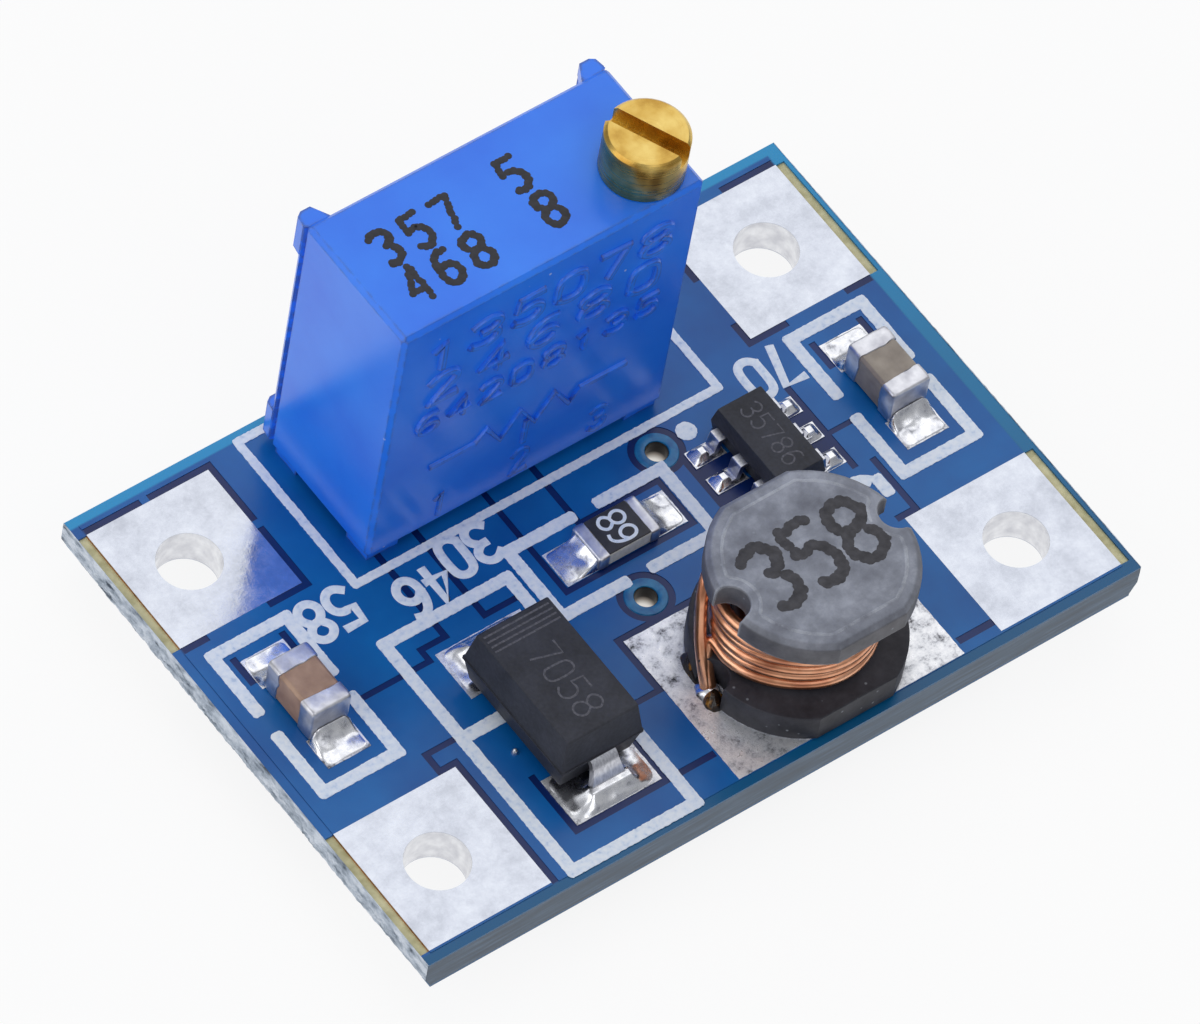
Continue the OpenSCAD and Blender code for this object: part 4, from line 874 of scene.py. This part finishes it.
# The coil stops short of its last steps, where the outer end is led down.
coil_path = winding_path[:-13]
winding_shapes = [tube(coil_path, wire_r)]
barrel_ends = (groove_low - 0.02, groove_high + 0.02)
winding_shapes.append(lofted([ring(by_drum(0, 0, z), coil_r - 0.1, 48) for z in barrel_ends]))
notch_x = (coil_high.x - coil_low.x) / 2 - wire_r
outer_wire = [
    coil_path[-1],
    by_drum(-1.91, 1.65, groove_high - 0.2),
    by_drum(-2.34, 1.35, groove_high - 0.75),
    by_drum(-2.56, 0.95, groove_low + 0.55),
    by_drum(-2.68, 0.55, groove_low - 0.2),
    by_drum(-2.73, 0.15, wire_foot_z),
]
inner_wire = [
    winding_path[5],
    winding_path[0],
    by_drum(-2.33, 0.68, groove_low + 0.32),
    by_drum(-2.50, 0.64, groove_low),
    by_drum(-2.60, 0.36, groove_low - 0.5),
    by_drum(-2.64, 0.08, wire_foot_z),
]
right_start = winding_path[-37]
right_wire = [
    right_start,
    right_start + Vector((0.22, 0.25, -0.15)),
    by_drum(coil_r + 0.3, 0.25, groove_high - 0.9),
    by_drum(notch_x - 0.05, 0.05, groove_low + 0.1),
    by_drum(notch_x, 0, coil_low.z + 0.2),
]
for stops in (outer_wire, inner_wire, right_wire):
    winding_shapes.append(tube(eased(stops, steps=10), wire_r))
winding = new_piece("wire_winding", joined(winding_shapes), enamel)
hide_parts("inductor_winding")


# The inductor's joints: solder drawn up each notch round the wire's end, with burnt flux at the left one.
# The pads of all the parts are wetted too: the paste was printed on them, and it melted and spread.
def blob(middle, half, height, peak, ridge, hollow, seed, rough, square=2.0):
    """A mound of solder on a pad: a rounded foot that climbs to a ridge, which may lie off its middle."""
    count = 56
    steps = 12
    rings = []
    for k in range(steps + 1):
        s = 1 - k / steps
        level_ring = []
        for i in range(count):
            turn = math.tau * i / count
            c = math.cos(turn)
            d = math.sin(turn)
            swell = (abs(c) ** square + abs(d) ** square) ** (-1 / square)
            swell *= 1 + rough * 2 * noise.noise(Vector((c * 1.7, d * 1.7, seed)))
            x = (half[0] * s + ridge[0] * (1 - s)) * c * swell + peak[0] * (1 - s)
            y = (half[1] * s + ridge[1] * (1 - s)) * d * swell + peak[1] * (1 - s)
            lift = height * ((1 - s) ** hollow * 0.9 + 0.1 * (1 - s ** 6))
            lift *= 1 + rough * 3 * noise.noise(Vector((x * 2.2, y * 2.2, seed + 9)))
            level_ring.append(middle + Vector((x, y, (lift if k else 0) - 0.01)))
        rings.append(level_ring)
    return lofted(rings)


# Wetted pad: solder drawn thin by the joint, wrinkled, with dull streaks beside bright ones.
wetted, tree, into, place = material("wetted_pad", Metallic=0.7)
wet_shades = [(0.34, "#4A4A4E"), (0.41, "#BEBFC5"), (0.48, "#E8E9ED"), (0.60, "#FCFCFE")]
streaks = mottled(tree, into, place, 0.4, 8.0, wet_shades, Roughness=0.75)
add(tree, "MapRange", {0: streaks, 1: 0.35, 2: 0.65, 3: 0.45, 4: 0.26}, feeds=into["Roughness"])
add(tree, "Bump", {"Height": streaks, "Strength": 0.5, "Distance": 0.05 * MM}, feeds=into["Normal"])
# The corner terminals lie beyond both of these places and stay dry.
terminal_x = 7.5
terminal_y = 3.5
part_pad_loops = []
pad_boxes = []
for loop in top_loops("pad_tin_top"):
    centre = sum(loop, Vector()) / len(loop)
    if abs(centre.x) < terminal_x or abs(centre.y) < terminal_y:
        part_pad_loops.append(stepped(loop, pitch=0.12, jitter=0.008))
        pad_boxes.append([min(p.x for p in loop), min(p.y for p in loop),
                          max(p.x for p in loop), max(p.y for p in loop)])
wet_sheet = flat_sheet("wetted_pads", part_pad_loops, pad_top_z - 0.01, pad_top_z + 0.012)
new_piece("wetted_pads", wet_sheet, wetted)

left_notch = Vector((core_low.x + 0.05, core_mid.y, pad_top_z))
right_notch = Vector((core_high.x - 0.05, core_mid.y, pad_top_z))
coil_solder = new_piece("inductor_joints", joined([
    blob(left_notch + Vector((0.06, 0.06, 0)), half=(0.34, 0.44), height=0.22, peak=(0.1, 0),
         ridge=(0.14, 0.2), hollow=0.8, seed=1, rough=0.06),
    blob(right_notch + Vector((0.12, 0, 0)), half=(0.46, 0.62), height=0.4, peak=(-0.2, 0),
         ridge=(0.2, 0.3), hollow=1.2, seed=2, rough=0.06, square=2.2),
]), solder)
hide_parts("solder_inductor")

# Burnt flux: dark amber glass, shiny and lumpy.
flux, tree, into, place = material("burnt_flux", Roughness=0.18, IOR=1.5)
char = mottled(tree, into, place, 0.3, 5.0, [(0.40, "#0B0908"), (0.54, "#2C1B0E"), (0.66, "#A8742A")])
add(tree, "Bump", {"Height": char, "Strength": 0.6, "Distance": 0.08 * MM}, feeds=into["Normal"])
new_piece("inductor_flux", joined([
    blob(left_notch + Vector((0.2, 0.7, 0)), half=(0.3, 0.66), height=0.5, peak=(0.1, 0),
         ridge=(0.12, 0.4), hollow=0.75, seed=21, rough=0.07),
    blob(left_notch + Vector((0.0, -0.26, 0)), half=(0.32, 0.3), height=0.3, peak=(0.06, 0.1),
         ridge=(0.1, 0.1), hollow=0.75, seed=22, rough=0.07),
]), flux)

# The diode: a black moulded block on two flat leads folded under it, with fine bars that mark its back end.
# Mould compound: near-black filled epoxy, satin, with a fine grain and faint scuffs.
mould, tree, into, place = material("mould_compound", Roughness=0.5, IOR=1.55, Specular_IOR_Level=0.25)
filler = add(tree, "TexNoise", {"Vector": place, "Scale": per_mm(0.1), "Detail": 4.0})
scuff = add(tree, "TexNoise", {"Vector": place, "Scale": per_mm(0.9), "Detail": 5.0})
mould_tone = add(tree, "Mix", {0: 0.6, 2: filler, 3: scuff}, data_type="FLOAT")
add(tree, "ValToRGB", {0: mould_tone}, [(0.32, "#26272D"), (0.7, "#3C3E47")], feeds=into["Base Color"])
add(tree, "Bump", {"Height": filler, "Strength": 0.35, "Distance": 0.02 * MM}, feeds=into["Normal"])
dress("diode_body", mould, rounding=0.05)

# A thin flash of compound stands out where the halves of the mould met.
diode_low, diode_high = box_mm("diode_body")
diode_mid = (diode_low + diode_high) / 2
diode_half = (diode_high - diode_low) / 2
parting_z = box_mm("diode_lead_front")[1].z
flash_cut = 0.05
flash_rings = []
for proud, lift in ((-0.05, -0.035), (0.022, -0.03), (0.03, 0.0), (0.022, 0.03), (-0.05, 0.035)):
    half_x = diode_half.x + proud
    half_y = diode_half.y + proud
    flash_ring = []
    for a, b in ((1, 1), (-1, 1), (-1, -1), (1, -1)):
        ends = [(a * half_x, b * (half_y - flash_cut)), (a * (half_x - flash_cut), b * half_y)]
        for x, y in ends if a * b > 0 else ends[::-1]:
            flash_ring.append(Vector((diode_mid.x + x, diode_mid.y + y, parting_z + lift)))
    flash_rings.append(flash_ring)
new_piece("diode_parting_flash", lofted(flash_rings + flash_rings[:1], capped=False), mould)

# Laser mark: the compound's skin burnt to a faint dull grey.
laser, tree, into, place = material("laser_mark", Roughness=0.7, IOR=1.5)
mottled(tree, into, place, 0.08, 3.0, [(0.3, "#3E3E45"), (0.7, "#66666E")])
mark_rise = 0.003
bar_half = 1.02
diode_marks = []
for i in range(4):
    y = diode_high.y - 0.36 - 0.17 * i
    bar = [Vector((diode_mid.x + x, y, diode_high.z)) for x in (-bar_half, bar_half)]
    diode_marks.append(ribbon(bar, up_z, width=0.055, rise=mark_rise, sink=0.01))
at = on_top("diode_body", right=0.02, behind=-0.35)
diode_marks += marked("7058", at, -plan_back, plan_right, height=0.85, advance=0.62, pen=0.06,
                      rise=mark_rise)
new_piece("diode_marks", joined(diode_marks), laser)


def apart(box, x, y):
    """How far a place lies outside a box seen from above."""
    return math.hypot(max(box[0] - x, 0, x - box[2]), max(box[1] - y, 0, y - box[3]))


def fillet(foot_low, foot_high, height, run, seed):
    """Solder on the nearest pad: thin at its rim, drawn up in a hollow slope to a lead or a chip's end."""
    foot = (foot_low + foot_high) / 2
    foot_box = (foot_low.x, foot_low.y, foot_high.x, foot_high.y)
    low_x, low_y, high_x, high_y = min(pad_boxes, key=lambda box: apart(box, foot.x, foot.y))
    cells = 44
    points = []
    for i in range(cells + 1):
        for k in range(cells + 1):
            u = 2 * i / cells - 1
            v = 2 * k / cells - 1
            x = (low_x + high_x + (high_x - low_x) * u) / 2
            y = (low_y + high_y + (high_y - low_y) * v) / 2
            wave = noise.fractal(Vector((x * 1.3, y * 1.3, seed)), 1.0, 2.0, 2)
            rim = (1 - (abs(u) ** 7 + abs(v) ** 7) ** (1 / 7)) / 0.16
            rim = min(1.0, max(0.0, rim + 0.25 * wave * (1 - max(abs(u), abs(v)))))
            slope = max(0.0, 1 - apart(foot_box, x, y) / (run * (1 + 0.3 * wave)))
            lift = 0.03 + 0.05 * (1 - u * u) * (1 - v * v) + 0.014 * wave + height * slope ** 2.1
            points.append(Vector((x, y, pad_top_z - 0.01 + lift * math.sin(rim * math.pi / 2))))
    row = cells + 1
    faces = []
    for i in range(cells):
        for k in range(cells):
            a = i * row + k
            faces.append((a, a + row, a + row + 1, a + 1))
    last = cells * row
    around = list(range(cells)) + [(i + 1) * row - 1 for i in range(cells)]
    around += [last + cells - k for k in range(cells)] + [last - i * row for i in range(cells)]
    faces.append(tuple(around))
    return points, faces


def outer_end(node, way):
    """The outer end of a diode lead, seen from above."""
    low, high = box_mm(node)
    return Vector(((low.x + high.x) / 2, low.y if way < 0 else high.y, 0))


def folded_lead(node, way):
    """A flat lead that leaves the body at its parting line, slopes down and splays at the foot."""
    low, high = box_mm(node)
    end = outer_end(node, way)
    half_thick = 0.1
    # Each station has a distance in from the end, a height, a tilt in degrees and a width.
    stations = [
        (0.80, high.z - 0.12, 0, 0.8),
        (0.50, high.z - 0.12, 8, 0.8),
        (0.40, high.z - 0.18, 32, 0.8),
        (0.30, high.z - 0.33, 55, 0.82),
        (0.22, high.z - 0.52, 64, 0.9),
        (0.14, high.z - 0.72, 62, 1.02),
        (0.06, low.z + 0.18, 48, 1.18),
        (0.0, low.z + 0.10, 12, 1.32),
        (-0.10, low.z + 0.10, 0, 1.38),
    ]
    rings = []
    for inset, z, tilt, width in stations:
        lean = math.radians(tilt)
        across = Vector((0, way * math.sin(lean), math.cos(lean))) * half_thick
        side = plan_right * width / 2
        centre = Vector((end.x, end.y - way * inset, z))
        rings.append([centre - side - across, centre + side - across,
                      centre + side + across, centre - side + across])
    return lofted(rings)


lead_foot = Vector((0.62, 0.12, 0))
diode_fillets = []
for side_name, way, seed in (("front", -1, 5), ("back", 1, 6)):
    node = "diode_lead_" + side_name
    lead = new_piece("diode_folded_lead_" + side_name, folded_lead(node, way), pin_tin,
                     smooth_angle=50)
    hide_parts("diode_lead_" + side_name)
    foot = outer_end(node, way)
    diode_fillets.append(fillet(foot - lead_foot, foot + lead_foot, height=0.3, run=0.6, seed=seed))
diode_solder = new_piece("diode_joints", joined(diode_fillets), solder)
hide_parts("solder_diode")
# One stray ball of solder lies beside the diode.
stray = Vector((diode_mid.x - 1.38, diode_mid.y - 0.42, mask_top_z))
stray_ball = blob(stray, half=(0.1, 0.1), height=0.17, peak=(0, 0),
                  ridge=(0.02, 0.02), hollow=0.55, seed=31, rough=0.02)
new_piece("solder_ball", stray_ball, solder)

# The regulator: a small moulded block on six formed leads, each soldered to its own pad.
# Its body is the diode's mould compound with a laser mark, and its leads are tinned like the trimmer's pins.
dress("regulator_body", mould, rounding=0.035)
at = on_top("regulator_body", right=0.05)
chip_marks = marked("35786", at, -plan_back, plan_right, height=0.6, advance=0.44, pen=0.05,
                    rise=mark_rise)
new_piece("regulator_marks", joined(chip_marks), laser)
toe_half = Vector((0.1, 0.1, 0))
chip_joints = []
for i in range(1, 7):
    node = f"regulator_lead_{i}"
    dress(node, pin_tin, rounding=0.025)
    low, high = box_mm(node)
    toe = Vector((low.x if i < 4 else high.x, (low.y + high.y) / 2, 0))
    chip_joints.append(fillet(toe - toe_half, toe + toe_half, height=0.2, run=0.32, seed=50 + i))
chip_solder = new_piece("regulator_joints", joined(chip_joints), solder)
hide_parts("solder_regulator")

# The chip capacitors: brown fired ceramic blocks, each end dipped in silver paste, fired and tinned.
# The paste creeps, so the silver's edge wavers.
# Capacitor ceramic: smooth and faintly mottled, warm brown on the left and a greyer batch on the right.
ceramic, tree, into, place = material("capacitor_ceramic", Roughness=0.42, IOR=1.7)
mottle = add(tree, "TexNoise", {"Vector": place, "Scale": per_mm(0.45), "Detail": 5.0})
warm_shade = add(tree, "ValToRGB", {0: mottle}, [(0.3, "#8E6C56"), (0.7, "#AC8A72")])
grey_shade = add(tree, "ValToRGB", {0: mottle}, [(0.3, "#7C7064"), (0.7, "#9C9082")])
along_board = add(tree, "SeparateXYZ", {0: place}, out="X")
right_batch = add(tree, "MapRange", {0: along_board, 1: -1.0 * MM, 2: 1.0 * MM})
add(tree, "Mix", {0: right_batch, 6: warm_shade, 7: grey_shade}, feeds=into["Base Color"], **rgba)
# Fired silver, tinned: pale satin metal with a soft, wavy skin.
silver, tree, into, place = material("fired_silver", Metallic=1.0, Roughness=0.36)
dip = mottled(tree, into, place, 0.4, 5.0, [(0.3, "#B4B4BC"), (0.7, "#E6E6EB")])
add(tree, "Bump", {"Height": dip, "Strength": 0.4, "Distance": 0.04 * MM}, feeds=into["Normal"])


def dipped_end(node, along, way, seed, waver):
    """A dipped chip end: rounded outer corners, a soft face and a wavering inner edge."""
    low, high = box_mm(node)
    across = plan_back if along.x else plan_right
    middle = (low + high) / 2
    size = high - low
    half_w = abs(size.dot(across)) / 2
    half_h = size.z / 2
    half_l = abs(size.dot(along)) / 2
    corner = 0.08
    share = corner / half_l
    stations = [(-1.0, 0.02), (-0.93, 0.0), (0.0, -0.008), (1 - share, 0.0)]
    stations += [(1 - share * (1 - math.sin(t)), corner * (1 - math.cos(t))) for t in (0.5, 0.9, 1.25, 1.5)]
    count = 120
    rings = []
    for u, inset in stations:
        section = []
        for i in range(count):
            turn = math.tau * (i + 0.5) / count
            c = math.cos(turn)
            d = math.sin(turn)
            swell = (abs(c) ** 13 + abs(d) ** 13) ** (-1 / 13)
            creep = noise.noise(Vector((c * 2.1, d * 2.1, seed)))
            run = half_l * u + (waver * creep if u < -0.5 else 0)
            section.append(middle + along * (way * run) + across * ((half_w - inset) * c * swell)
                           + up_z * ((half_h - inset) * d * swell))
        rings.append(section)
    return lofted(rings)


for side_name, seed in (("left", 61), ("right", 71)):
    chip = side_name + "_capacitor"
    dress(chip + "_body", ceramic, rounding=0.03)
    cap_fillets = []
    for i, (end_name, way) in enumerate((("_end_back", 1), ("_end_front", -1))):
        node = chip + end_name
        dip_shape = dipped_end(node, plan_back, way, seed + way, waver=0.09)
        end = new_piece(node + "_dip", dip_shape, silver)
        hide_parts(node)
        cap_fillets.append(fillet(*box_mm(node), height=0.42, run=0.6, seed=seed + i))
    joints = new_piece(chip + "_joints", joined(cap_fillets), solder)
    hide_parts("solder_" + side_name + "_capacitor")

# The resistor: a white ceramic chip with a black overcoat, its ends plated and soldered.
# A plain number is printed on the overcoat in the legend's ink.
dress("resistor_body", alumina, rounding=0.04)
# Overcoat: black printed glass, slightly glossy.
overcoat, tree, into, place = material("resistor_overcoat", Roughness=0.35, IOR=1.52)
mottled(tree, into, place, 0.3, 4.0, [(0.3, "#1E1E22"), (0.7, "#303036")])
dress("resistor_film", overcoat, rounding=0.02)
film_marks = marked("68", on_top("resistor_film"), plan_back, -plan_right, height=0.78, advance=0.52,
                    pen=0.095, rise=0.006)
new_piece("resistor_number", joined(film_marks), legend_ink)
resistor_fillets = []
for side_name, way, seed in (("left", -1, 94), ("right", 1, 91)):
    node = "resistor_end_" + side_name
    plate_shape = dipped_end(node, plan_right, way, seed=80 + way, waver=0.02)
    end = new_piece(node + "_plate", plate_shape, silver)
    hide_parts(node)
    resistor_fillets.append(fillet(*box_mm(node), height=0.36, run=0.6, seed=seed))
resistor_joints = new_piece("resistor_joints", joined(resistor_fillets), solder)
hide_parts("solder_resistor")
